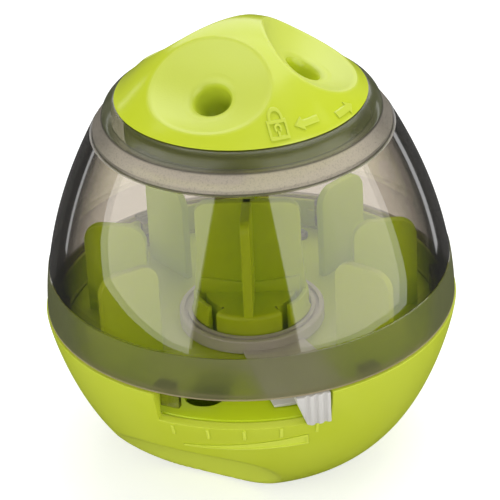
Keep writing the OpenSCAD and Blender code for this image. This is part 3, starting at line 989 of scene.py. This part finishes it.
    def build(self) -> None:
        """Builds and dresses the bowl."""
        form = self.outer_shell().add(self.inner_shell()).tidy().cut(self.window())
        form.soften(0.35, 3, 26.0, lambda e: min(v.co.z for v in e.verts) > LAYOUT.deck_z - 3.5
                    and min(hypot(v.co.x, v.co.y) for v in e.verts) > LAYOUT.rim_in_r - 0.7)
        form.add(*self.fittings())
        self.dress(form, 1.15, 0.35, 0.35, lambda z: z < self.scoops_under)
        form.piece("bowl_shell", Body.BASE, Slot.LIME_SHELL, LIME_SHELL.material(), ["base_bowl"])
        marks = Form().add(*self.marks()).mark("matt", 1.0)
        marks.piece("bowl_marks", Body.BASE, Slot.LIME_SHELL, LIME_MARK.material())


@dataclass
class Cap(Scooped):
    """The lime cap: three soft dishes, treat holes with tubes, skirt, hooks and raised signs."""

    wide_r: float = 32.9
    wide_z: float = LAYOUT.cap_z
    depth: float = 18.7
    power: float = 0.85
    roundness: float = 2.2
    low_z: float = 105.8
    high_z: float = 121.0
    sag: float = 5.7
    across: float = 36.5
    ridge: float = 0.9
    first: float = 0.0
    dishes_over: float = 104.5
    hole_r: float = 4.5
    hole_shift: float = 1.3
    lip: float = 2.9
    tube: float = 11.0
    taper: float = 0.6
    centre_z: float = 90.0
    skirt_in_r: float = 28.6
    skirt_z: float = 92.2
    hook_r: float = 33.6
    hook_top_z: float = 94.8
    rows: int = 54
    rim_steps: int = 36
    edge_steps: int = 44

    def _border(self) -> Array:
        """Points round one third of the flat view from above: rim, edge, peak, edge and rim.

        Returns:
            Rows of x and y, whose length is the angle from the axis.
        """
        top = atan2(self.wide_r, self.wide_z - self.centre_z)
        rim = np.linspace(0, 60, self.rim_steps, endpoint=False)
        edge = np.linspace(0, top, self.edge_steps, endpoint=False)
        sides = [(top, at) for at in rim] + [(top - a, 60) for a in edge] + [(a, -60) for a in edge]
        return np.array([polar(a, at, 0)[:2] for a, at in sides + [(top, at - 60) for at in rim]])

    def _on_ray(self, flat: Array) -> Array:
        """Points of the cap's surface for points of the flat view.

        Args:
            flat: Rows of x and y.

        Returns:
            Rows of x, y, z.
        """
        angle = np.maximum(np.hypot(flat[:, 0], flat[:, 1]), 1e-9)
        rays = np.stack([np.sin(angle) * flat[:, 0] / angle, np.sin(angle) * flat[:, 1] / angle,
                         np.cos(angle)], axis=1)
        centre = np.array((0.0, 0.0, self.centre_z))
        return meet(centre, rays, 4.0, 60.0, lambda p, way: self.surface(p, way) < 0)

    def _lines(self) -> Array:
        """Columns of points from the foot of a hole's tube over lip and dish to the border.

        Returns:
            Rows, columns and x, y, z.
        """
        dish = self.wheels()[0]
        axis = np.array((0.0, -dish.out[0], dish.out[1]))
        down = np.array((0.0, -dish.out[1], -dish.out[0]))
        side = np.array((1.0, 0.0, 0.0))
        hole = np.array((0.0, -dish.middle[0], dish.middle[1]))
        hole += down * self.hole_shift - axis * self.sag
        start = atan2(-hole[1], hole[2] - self.centre_z)
        border = self._border()
        turn = np.arctan2(border[:, 0], -(border[:, 1] + start))
        radial = np.cos(turn)[:, None] * down + np.sin(turn)[:, None] * side
        ring = hole + radial * (self.hole_r + self.lip)
        edge = meet(ring, axis, -5.0, 5.0, lambda p, way: self.surface(p, way) < 0)
        foot = (edge - ring) @ axis - self.lip
        rows = []
        for share in (1.0, 0.8, 0.55, 0.3, 0.1):
            height = foot - (self.tube + foot) * share
            narrow = 1 - (1 - self.taper) * share
            rows.append(hole + radial * self.hole_r * narrow + height[:, None] * axis)
        for bend in np.linspace(pi / 2, 0, 8, endpoint=False):
            rows.append(edge - radial * self.lip * sin(bend) - axis * self.lip * (1 - cos(bend)))
        ray = edge - np.array((0.0, 0.0, self.centre_z))
        angle = np.arctan2(np.hypot(ray[:, 0], ray[:, 1]), ray[:, 2])
        flat = ray[:, :2] * (angle / np.hypot(ray[:, 0], ray[:, 1]))[:, None]
        for share in np.linspace(0, 1, self.rows + 1):
            rows.append(self._on_ray(flat + (border - flat) * share))
        return np.array(rows)

    def third(self) -> Form:
        """One third of the skin, with its dish at the front.

        Returns:
            The open skin.
        """
        lines = self._lines()
        rows, columns = lines.shape[:2]
        form = Form()
        bmesh.ops.create_grid(form.bm, x_segments=columns, y_segments=rows - 1, size=1.0)
        flat = form.points()
        i = np.rint((flat[:, 0] + 1) / 2 * columns).astype(int) % columns
        j = np.rint((flat[:, 1] + 1) / 2 * (rows - 1)).astype(int)
        return form.place(lines[j, i]).tidy()

    def skin(self) -> Form:
        """The whole cap's shell.

        Returns:
            The closed shell.
        """
        form = Form()
        third = self.third()
        for at in LAYOUT.evenly(0.0):
            form.add(third.copy().turn(at))
        third.bm.free()
        form.tidy()
        bmesh.ops.solidify(form.bm, geom=form.bm.faces[:], thickness=self.wall)
        for vert in form.bm.verts:
            if vert.co.z < self.wide_z and hypot(vert.co.x, vert.co.y) > 27:
                vert.co.z = self.wide_z
        return form.tidy().soften(0.5, 3, 40.0, lambda e: all(
            hypot(v.co.x, v.co.y) > self.wide_r - 0.3 and v.co.z < self.wide_z + 0.05
            for v in e.verts))

    def skirt(self) -> list[Form]:
        """The skirt under the cap and its three hooks.

        Returns:
            The skirt and then the hooks.
        """
        outer = LAYOUT.bore_r - 0.3
        skirt = Form().spin(rectangle(self.skirt_in_r, outer, self.skirt_z, self.wide_z + 1))
        outline = rectangle(outer - 1, self.hook_r, LAYOUT.hook_z, self.hook_top_z)
        hooks = [arc_bar(outline, at - LAYOUT.hook_half, at + LAYOUT.hook_half, 40).soften(0.25)
                 for at in LAYOUT.evenly(self.first)]
        return [skirt.soften(0.25), *hooks]

    def sign(self, form: Form, at: float) -> Form:
        """Lays a flat sign on the cap at an angle from the front dish."""
        turned = np.array(Matrix.Rotation(radians(at), 3, "Z").transposed())
        form.back(0.4 - self.emboss).slices(0, 0.6).slices(2, 0.6).soften(0.13, 2, 40.0)
        return form.wrap(lambda points, past: self.surface(points @ turned, past)).turn(at)

    def padlock(self) -> list[Form]:
        """A closed padlock in raised lines.

        Returns:
            One flat form per part.
        """
        z = LAYOUT.cap_z + 1.2
        body = Form().plate(rectangle(-2.5, 2.5, z, z + 3.6), 0.8)
        parts = [body.cut(Form().plate(rectangle(-1.95, 1.95, z + 0.55, z + 3.05), 3.0))]
        for outer, inner, half, height in ((1.95, 1.3, 90, z + 4.0), (0.95, 0.45, 140, z + 2.1)):
            turns = np.radians(np.linspace(-half, half, 21))
            outline = [(outer * sin(a), height + outer * cos(a)) for a in turns]
            outline += [(inner * sin(a), height + inner * cos(a)) for a in reversed(turns)]
            parts.append(Form().plate(outline, 0.8))
        bars = ((-1.95, -1.3, 3.3, 4.05), (1.3, 1.95, 3.3, 4.05), (-0.3, 0.3, 0.3, 1.5))
        for x0, x1, low, high in bars:
            parts.append(Form().plate(rectangle(x0, x1, z + low, z + high), 0.8))
        return parts

    def arrow(self, height: float, flip: int) -> Form:
        """A plain raised arrow along the rim, with its head to the left or right.

        Args:
            height: Height over the cap's rim.
            flip: 1 for left, -1 for right.

        Returns:
            The flat form.
        """
        z = LAYOUT.cap_z + height
        outline = [(-3.6, 0), (-1.2, -1.3), (-1.2, -0.6), (3.4, -0.6), (3.4, 0.6), (-1.2, 0.6),
                   (-1.2, 1.3)]
        return Form().plate([(x * flip, z + h) for x, h in outline], 0.8)

    def build(self) -> None:
        """Builds and dresses the cap."""
        front = LAYOUT.scoop_at
        finish = LIME_CAP.material()
        form = self.skin().add(*self.skirt())
        self.dress(form, 1.2, 0.5, 0.45, lambda z: z > self.dishes_over)
        form.turn(front).piece("cap_shell", Body.CAP, Slot.LIME_CAP, finish, ["top_cap"], 40.0)
        signs = Form().add(*[self.sign(f, 21.0 - front) for f in self.padlock()],
                           self.sign(self.arrow(3.0, 1), 36.5 - front),
                           self.sign(self.arrow(1.9, -1), 60.0 - front))
        signs.mark("matt", 0.6).turn(front).piece("cap_signs", Body.CAP, Slot.LIME_CAP, finish)


@dataclass
class Dome:
    """The smoked dome: clear shell, frosted foot band and neck, dark roll, lugs and hooks."""

    foot_r: float = 54.4
    shoulder_r: float = 39.7
    shoulder_z: float = 93.6
    power: float = 1.86
    wall: float = 2.2
    band_z: float = 55.4
    band_step: float = 0.2
    inset: float = 0.8
    roll_h: float = 2.4
    roll_w: float = 2.2
    roll_z: float = 98.4
    roll_power: float = 1.5
    crease: float = 0.12

    def radius(self, z: float) -> float:
        """Outer radius of the clear shell at a height."""
        rise = max(0.0, z - LAYOUT.seam_z) / (self.shoulder_z - LAYOUT.seam_z)
        return self.foot_r - (self.foot_r - self.shoulder_r) * rise**self.power

    def neck(self, z: float) -> float:
        """Outer radius of the neck's cone at a height."""
        return self.shoulder_r - 6.8 / 9.4 * (z - self.shoulder_z)

    def outline(self) -> list[tuple[float, float]]:
        """The shell's closed outline.

        Returns:
            Points as radius and height.
        """
        foot, band, top = LAYOUT.dome_z, self.band_z, self.shoulder_z
        outer = [(self.radius(foot) + self.band_step - 0.25, foot)]
        outer += [(self.radius(z) + self.band_step, z)
                  for z in np.linspace(foot + 0.25, band - 0.15, 13)]
        outer += [(self.radius(band) - 0.12, band + 0.05), (self.radius(band) - 0.12, band + 0.2)]
        outer += [(self.radius(z), z) for z in np.linspace(band + 0.35, top, 61)]
        neck_r = self.shoulder_r - self.inset
        outer += [(neck_r + 0.15, top + 0.15), (neck_r, top + 0.35)]
        low_r, under = self.neck(self.roll_z), LAYOUT.neck_top_z - self.roll_h
        outer += zip(np.linspace(neck_r, low_r, 6), np.linspace(top + 1.2, self.roll_z, 6))
        roll_r, roll_z = self.neck(under) - self.roll_w, self.roll_z + self.crease
        for turn in np.linspace(0, pi / 2, 17):
            out, up = (max(share, 0.0) ** (2 / self.roll_power) for share in (cos(turn), sin(turn)))
            outer.append((roll_r + (low_r + self.crease - roll_r) * out,
                          roll_z + (LAYOUT.neck_top_z - roll_z) * up))
        inner = [(LAYOUT.bore_r, LAYOUT.neck_top_z), (LAYOUT.bore_r, under),
                 (self.neck(under) - self.wall, under)]
        inner += [(self.radius(z) - self.wall, z) for z in np.linspace(top, foot, 45)]
        return outer + inner

    def lugs(self) -> list[Form]:
        """Six lugs that hang inside the bowl's rim.

        Returns:
            The bars of each lug.
        """
        forms, low = [], LAYOUT.lug_z
        for at in LAYOUT.evenly(LAYOUT.lug_at, 6):
            start, end = at - 3, at + 3
            forms.append(arc_bar(rectangle(48.7, 50.5, low, 45.3), start, end, 6).soften(0.25))
            forms.append(arc_bar(rectangle(49.6, 53.0, 43.8, 45.0), start, end, 6))
            if at != LAYOUT.lug_at:
                forms.append(arc_bar(rectangle(49.6, 51.4, low, 38.6), start, end, 6).soften(0.2))
        return forms

    def hooks(self) -> list[Form]:
        """Hooks and stops inside the neck that hold the cap.

        Returns:
            The bars of each hook and stop.
        """
        forms, half = [], LAYOUT.hook_half
        for at in LAYOUT.evenly(LAYOUT.scoop_at):
            for low, start, end, steps in ((95.1, -half, half, 40), (LAYOUT.hook_z, -32, -26.6, 6)):
                outline = rectangle(LAYOUT.bore_r, 36.0, low, 96.9)
                forms.append(arc_bar(outline, at + start, at + end, steps).soften(0.2))
        return forms

    def within(self, points: Array) -> Array:
        """Goes to 1 on the shell's inner side, below the neck."""
        outer = np.array([self.radius(z) for z in points[:, 2]])
        inner = np.hypot(points[:, 0], points[:, 1]) < outer - self.wall / 2
        return (inner & (points[:, 2] < self.shoulder_z - 0.5)).astype(float)

    def build(self) -> None:
        """Builds and dresses the dome."""
        form = Form().spin(self.outline(), steps=256)
        form.mark("inner", self.within(form.points()))
        form.add(*self.lugs(), *self.hooks())
        form.piece("dome_shell", Body.DOME, Slot.SMOKED, SmokedFinish().material(), ["dome"], 32.0)


@dataclass
class Deck:
    """The deck with seven fins, the treat slot and the clips that hold the gate ring."""

    fin_in_r: float = 28.0
    fin_out_r: float = 45.0
    fin_top_z: float = 61.7
    fin_t: float = 2.2
    fin_corner: float = 5.0
    fin_step: float = 41.0
    fin_count: int = 7
    hole_r: float = 1.6
    slot_at: float = -15.5
    slot_w: float = 11.0
    slot_in_r: float = 24.0
    slot_out_r: float = 45.4
    clip_from: float = 44.5
    clip_to: float = 82.5

    def plate(self) -> Form:
        """The round deck with its slot and screw holes.

        Returns:
            The plate.
        """
        z0, z1 = LAYOUT.deck_floor_z, LAYOUT.deck_z
        r, half = LAYOUT.deck_r, self.slot_w / 2
        form = Form().spin([(0.0, z0), (r, z0), (r, z1 - 0.45), (r - 0.13, z1 - 0.13),
                            (r - 0.45, z1), (0.0, z1)], steps=240)
        slot = Form().sheet(rectangle(-half, half, -self.slot_out_r, -self.slot_in_r), z0 - 1)
        slot.bevel(slot.bm.verts[:], half * 0.999, 12, "VERTICES")
        slot.extrude((0, 0, 5)).turn(self.slot_at)
        bore = cylinder(self.hole_r, z0 - 1, z1 + 1)
        holes = [bore.copy().back(-LAYOUT.screw_r).turn(at)
                 for at in LAYOUT.evenly(LAYOUT.screw_at)]
        middle = bore.add(cylinder(4.0, z1 - 1.8, z1 + 1))
        return form.cut(slot, middle, *holes)

    def fin(self, at: float) -> Form:
        """One upright fin."""
        outline = rectangle(self.fin_in_r, self.fin_out_r, LAYOUT.deck_z - 0.5, self.fin_top_z)
        form = Form().plate(outline, self.fin_t, (2, 3), self.fin_corner)
        return form.soften(0.35, 3).turn(at - 90)

    def clip(self, start: float, end: float) -> Form:
        """One clip in a notch of the hub, hooked over the ring."""
        outline = [(14.2, 34.7), (15.5, 34.7), (15.5, 39.3), (16.2, 39.3), (16.2, 40.0),
                   (15.5, 41.4), (15.5, 44.9), (14.2, 44.9)]
        return arc_bar(outline, start, end, 14).soften(0.15)

    def build(self) -> None:
        """Builds and dresses the deck."""
        half = (self.fin_count - 1) / 2 * self.fin_step
        fins = [self.fin(at) for at in np.linspace(180 - half, 180 + half, self.fin_count)]
        form = self.plate().add(*fins, self.clip(self.clip_from, self.clip_to),
                                self.clip(-self.clip_to, -self.clip_from))
        form.piece("fin_deck", Body.BASE, Slot.LIME_INNER, LIME_INNER.material(), ["fin_tray"])


@dataclass
class Vane:
    """The notched hub and its crossed upright plates."""

    hub_r: float = 15.5
    hub_z: float = 44.2
    notch_r: float = 12.2
    notch_from: float = 34.5
    notch_to: float = 88.5
    half: float = 14.0
    top_z: float = 70.9
    t: float = 2.6
    root_t: float = 4.2
    root_half: float = 13.3
    root_h: float = 4.6
    root_dip: float = 2.0
    waist_h: float = 13.3
    corner: float = 3.4
    hub_round: float = 1.4
    spigot_r: float = 3.7
    spigot_z: float = 33.4

    def hub(self) -> Form:
        """The hub with its two notches.

        Returns:
            The hub.
        """
        low, high, r, bend = LAYOUT.deck_z, self.hub_z, self.hub_r, self.hub_round
        edge = [(r - bend + bend * sin(a), high - bend + bend * cos(a))
                for a in np.linspace(pi / 2, 0, 7)]
        form = Form().spin([(0.0, self.spigot_z), (self.spigot_r, self.spigot_z),
                            (self.spigot_r, low), (r, low), *edge, (0.0, high)], steps=160)
        cuts = [arc_bar(rectangle(self.notch_r, r + 2, low - 1, high + 1), a, b, 16)
                for a, b in ((self.notch_from, self.notch_to), (-self.notch_to, -self.notch_from))]
        return form.cut(*cuts).soften(0.25, 2, 60.0)

    def build(self) -> None:
        """Builds and dresses the vane."""
        hub_z, half, top = self.hub_z, self.half, self.top_z
        low, waist = hub_z - 0.5, hub_z + self.waist_h
        side, root_z = self.root_half, hub_z + self.root_h
        sheet = [(-half - 1, low), (half + 1, low), (half + 1, hub_z), (half, waist), (half, top),
                 (-half, top), (-half, waist), (-half - 1, hub_z)]
        root = [(-side, low), (side, low), (side, root_z), (0, root_z - self.root_dip),
                (-side, root_z)]
        blades = [Form().plate(sheet, self.t, (4, 5), self.corner).soften(0.3).turn(at)
                  for at in (0, 90)]
        form = self.hub().add(*blades, Form().plate(root, self.root_t).soften(0.3))
        form.piece("cross_vane_blades", Body.BASE, Slot.LIME_INNER, LIME_INNER.material(),
                   ["cross_vane"])


@dataclass
class Gate:
    """The white gate: grooved ring, gate plate, arm and ridged lever."""

    ring_in_r: float = 15.9
    ring_mid_r: float = 17.2
    ring_r: float = 19.5
    z: float = 35.5
    ring_h: float = 3.5
    plate_t: float = 0.9
    plate_r: float = 46.0
    rest: float = 19.2
    lever_in_r: float = 51.7
    lever_r: float = 54.7
    lever_w: float = 8.9
    slant: float = 2.6
    top_z: float = 43.0
    heel_r: float = 53.4
    heel_drop: float = 0.9
    grip_r: float = 0.62
    grip_pitch: float = 2.3

    def ring(self) -> Form:
        """The ring with its groove.

        Returns:
            The ring.
        """
        r0, r1, z0, z1 = self.ring_in_r, self.ring_r, self.z, self.z + self.ring_h
        groove = r0 + (r1 - r0 - 1) / 2
        outline = [(r0, z0), (r1, z0), (r1, z1 - 0.3), (r1 - 0.3, z1), (groove + 1, z1),
                   (groove + 1, z1 - 1), (groove, z1 - 1), (groove, z1), (r0 + 0.3, z1),
                   (r0, z1 - 0.3)]
        return Form().spin(outline, steps=128)

    def flap(self) -> Form:
        """The gate plate, which tapers from the lever's side to the ring.

        Returns:
            The plate.
        """
        corners = [(self.ring_mid_r, -52), (self.ring_r, -24),
                   *((self.plate_r, at) for at in (-9.9, -7, -4, -1, 2, 5)),
                   (44, 13.6), (40, 17.6), (35.3, 20), (28, 23.2), (self.ring_r, 28),
                   *((self.ring_mid_r, at) for at in (52, 26, 0, -26))]
        form = Form().sheet([polar(r, at, 0)[:2] for r, at in corners], self.z)
        return form.extrude((0, 0, self.plate_t)).soften(0.3, 2, 60.0)

    def lever(self) -> Form:
        """The lever's grip, ridged in front and slanted on its left.

        Returns:
            The grip.
        """
        half, low = self.lever_w / 2, LAYOUT.deck_z - self.heel_drop
        back = sqrt(self.lever_in_r**2 - half**2)
        outline = [(-half, -back), (half, -back)]
        for x in np.linspace(half, -half, 45):
            wave = min(abs(x - self.grip_pitch * share) for share in (-0.75, 0.25, 1.25))
            groove = sqrt(max(0.0, self.grip_r**2 - wave**2)) * 0.9
            outline.append((x, groove - sqrt(self.lever_r**2 - x**2)))
        form = Form().sheet(outline, low - 2).extrude((0, 0, self.top_z - low + 2))
        heel = (0, -self.heel_r, low)
        for point, normal in ((heel, (0, 0, -1)), (heel, (0, 0.46, -0.89)),
                              ((-half, 0, self.top_z - self.slant / 2), (-0.94, 0, -0.34))):
            form.slice(point, normal, True).fill()
        return form.soften(0.22, 2, 40.0)

    def build(self) -> None:
        """Builds and dresses the gate."""
        outline = rectangle(self.plate_r - 0.6, self.lever_in_r + 0.6, self.z, self.z + 1.2)
        arm = arc_bar(outline, 0.6, 4.5, 6).soften(0.2)
        form = self.ring().add(self.flap(), arm, self.lever()).turn(self.rest)
        form.piece("gate_and_lever", Body.GATE, Slot.LEVER, LEVER_WHITE.material(),
                   ["gate_ring"], 40.0)


@dataclass
class Hardware:
    """The CAD pieces that stay as they are and get their finish here."""

    finishes: dict[str, MouldedFinish | MetalFinish] = field(default_factory=lambda: {
        "counterweight": IRON, "weight_cover": LIME_INNER, "cover_screws": STEEL,
        "tray_screws": STEEL, "vane_screw": STEEL})

    def build(self) -> None:
        """Dresses each piece."""
        for node, finish in self.finishes.items():
            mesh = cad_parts[node].data
            mesh.materials.clear()
            mesh.materials.append(bpy.data.materials.get(finish.name) or finish.material())
            log.info("%s: dressed with %s", node, finish.name)


@dataclass
class Studio:
    """White floor, soft lamps and the photograph's camera."""

    distance: float = 0.6734
    elevation: float = 30.79
    azimuth: float = 3.9
    roll: float = -2.96
    focal: float = 2503.2
    axis_x: float = 251.1
    axis_y: float = 290.84
    frame_px: float = 500.0
    world: float = 0.5
    mirrored: float = 0.06
    albedo: float = 0.6
    glow: float = 0.58
    card: float = 1.85
    card_r: float = 0.2
    aim_z: float = 0.06

    def camera(self) -> None:
        """Stands the camera where the photograph was taken, aimed at the picture's middle."""
        a, roll = radians(self.azimuth), radians(self.roll)
        back = Vector(skyward(self.azimuth, self.elevation))
        right = Vector((cos(a), sin(a), 0))
        up = back.cross(right)
        place = Vector((0, 0, LAYOUT.seam_z * MM)) + back * self.distance
        tilted = right * cos(roll) + up * sin(roll)
        upright = up * cos(roll) - right * sin(roll)
        half = self.frame_px / 2
        aim = tilted * (half - self.axis_x) - upright * (half - self.axis_y) - back * self.focal
        z = -aim.normalized()
        x = (tilted - z * tilted.dot(z)).normalized()
        turned = Matrix((x, z.cross(x), z)).transposed().to_4x4()
        data = bpy.data.cameras.new("photo_camera")
        data.sensor_width, data.lens = 36.0, self.focal * 36.0 / self.frame_px
        data.clip_start, data.clip_end = 0.01, 60.0
        camera = stand("photo_camera", data)
        camera.matrix_world = Matrix.Translation(place) @ turned
        bpy.context.scene.camera = camera

    def lamp(self, name: str, azimuth: float, elevation: float, distance: float,
             size: tuple[float, float], radiance: float, mirrored: bool = True) -> None:
        """Adds one soft box that faces the toy.

        Args:
            name: Its name.
            azimuth: Angle from the front towards the right.
            elevation: Angle over the floor.
            distance: How far away it stands, in metres.
            size: Its width and height in metres.
            radiance: Its brightness, where 1 is white.
            mirrored: Whether smooth plastic mirrors it.
        """
        away = Vector(skyward(azimuth, elevation))
        data = bpy.data.lights.new(name, "AREA")
        data.shape, data.size, data.size_y = "RECTANGLE", size[0], size[1]
        data.energy = radiance * pi * size[0] * size[1]
        lamp = stand(name, data)
        place = Matrix.Translation(away * distance + Vector((0, 0, self.aim_z)))
        lamp.matrix_world = place @ away.to_track_quat("Z", "Y").to_matrix().to_4x4()
        lamp.visible_camera, lamp.visible_glossy = False, mirrored

    def floor(self) -> None:
        """Lays the white floor, which keeps the toy's shadow."""
        s = Shader(bpy.data.materials.new("white_floor"))
        plain = {"Base Color": (self.albedo, self.albedo, self.albedo, 1), "Roughness": 0.9,
                 "Specular IOR Level": 0.1}
        matt = s.node("BsdfPrincipled", plain)
        lit = {**plain, "Emission Color": WHITE, "Emission Strength": self.glow}
        glow = s.node("BsdfPrincipled", lit)
        dim = s.node("BsdfPrincipled", {**plain, "Base Color": (0.05, 0.05, 0.05, 1)})
        seen = s.mix(s.rays("Is Camera Ray", "Is Transmission Ray"), matt, glow)
        form = Form()
        bmesh.ops.create_grid(form.bm, x_segments=8, y_segments=8, size=30.0)
        form.prop("floor", s.end(s.mix(s.rays("Is Glossy Ray"), seen, dim)))

    def reflector(self, name: str, columns: Sequence[tuple[float, float, float, float]]) -> None:
        """Adds a bright card that only the smooth plastic mirrors.

        Args:
            name: Its name.
            columns: Angle and height, in millimetres, of its lower and then its upper edge.
        """
        s = Shader(bpy.data.materials.new(name))
        form = Form()
        pairs = [[form.bm.verts.new(polar(self.card_r, at, z * MM))
                  for at, z in (column[:2], column[2:])] for column in columns]
        for (a, b), (c, d) in zip(pairs, pairs[1:]):
            form.bm.faces.new([a, b, d, c])
        card = form.prop(name, s.end(s.node("Emission", {"Color": WHITE, "Strength": self.card})))
        card.visible_camera = card.visible_diffuse = False
        card.visible_transmission = card.visible_shadow = False

    def sky(self) -> None:
        """Sets a plain even world, darker where the smooth plastic mirrors it."""
        s = Shader(bpy.data.worlds.new("studio"))
        even = s.node("Background", {"Color": WHITE, "Strength": self.world})
        dark = s.node("Background", {"Color": WHITE, "Strength": self.mirrored})
        bpy.context.scene.world = s.end(s.mix(s.rays("Is Glossy Ray"), even, dark))

    def build(self) -> None:
        """Sets the studio up."""
        self.camera()
        self.floor()
        self.sky()
        self.lamp("left_softbox", -61, 10.3, 0.95, (1.33, 0.45), 2.5, False)
        self.lamp("right_softbox", 64, 10.3, 0.95, (1.55, 0.45), 2.3, False)
        self.lamp("front_softbox", 5, 24, 0.95, (0.8, 0.4), 1.2, False)
        self.lamp("top_softbox", 160, 64, 1.1, (1.2, 1.0), 2.6)
        self.reflector("left_card", [
            (-88.5, 98, -90, 260), (-84.7, 73, -86, 265), (-76, 48, -76, 275), (-66, 42, -64, 285),
            (-51, 32, -46, 295), (-36, 21.5, -26, 305), (-26.6, 19, -8.5, 315)])
        self.reflector("right_card", [
            (25.3, 19, 13, 315), (44.6, 14, 38, 300), (67.3, 12, 64, 280), (85.8, 10, 90, 265),
            (89, 30, 97, 260)])
        self.reflector("back_card", [(at, 150, at, 330) for at in (145, 180, 215)])
        self.reflector("left_strip", [(-112, 18, -128, 150), (-115, 18, -133, 150)])
        self.reflector("right_strip", [(121, 2, 133, 110), (126, 2, 139, 110)])
        bpy.context.scene.view_settings.view_transform = "Standard"


def main() -> None:
    """Builds the toy piece by piece and sets up the studio."""
    logging.basicConfig(level=logging.INFO, format="%(name)s: %(message)s")
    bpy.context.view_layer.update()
    for part in (Bowl(), Deck(), Vane(), Gate(), Dome(), Cap(), Hardware(), Studio()):
        part.build()
    bpy.context.view_layer.update()


if __name__ == "__main__":
    main()
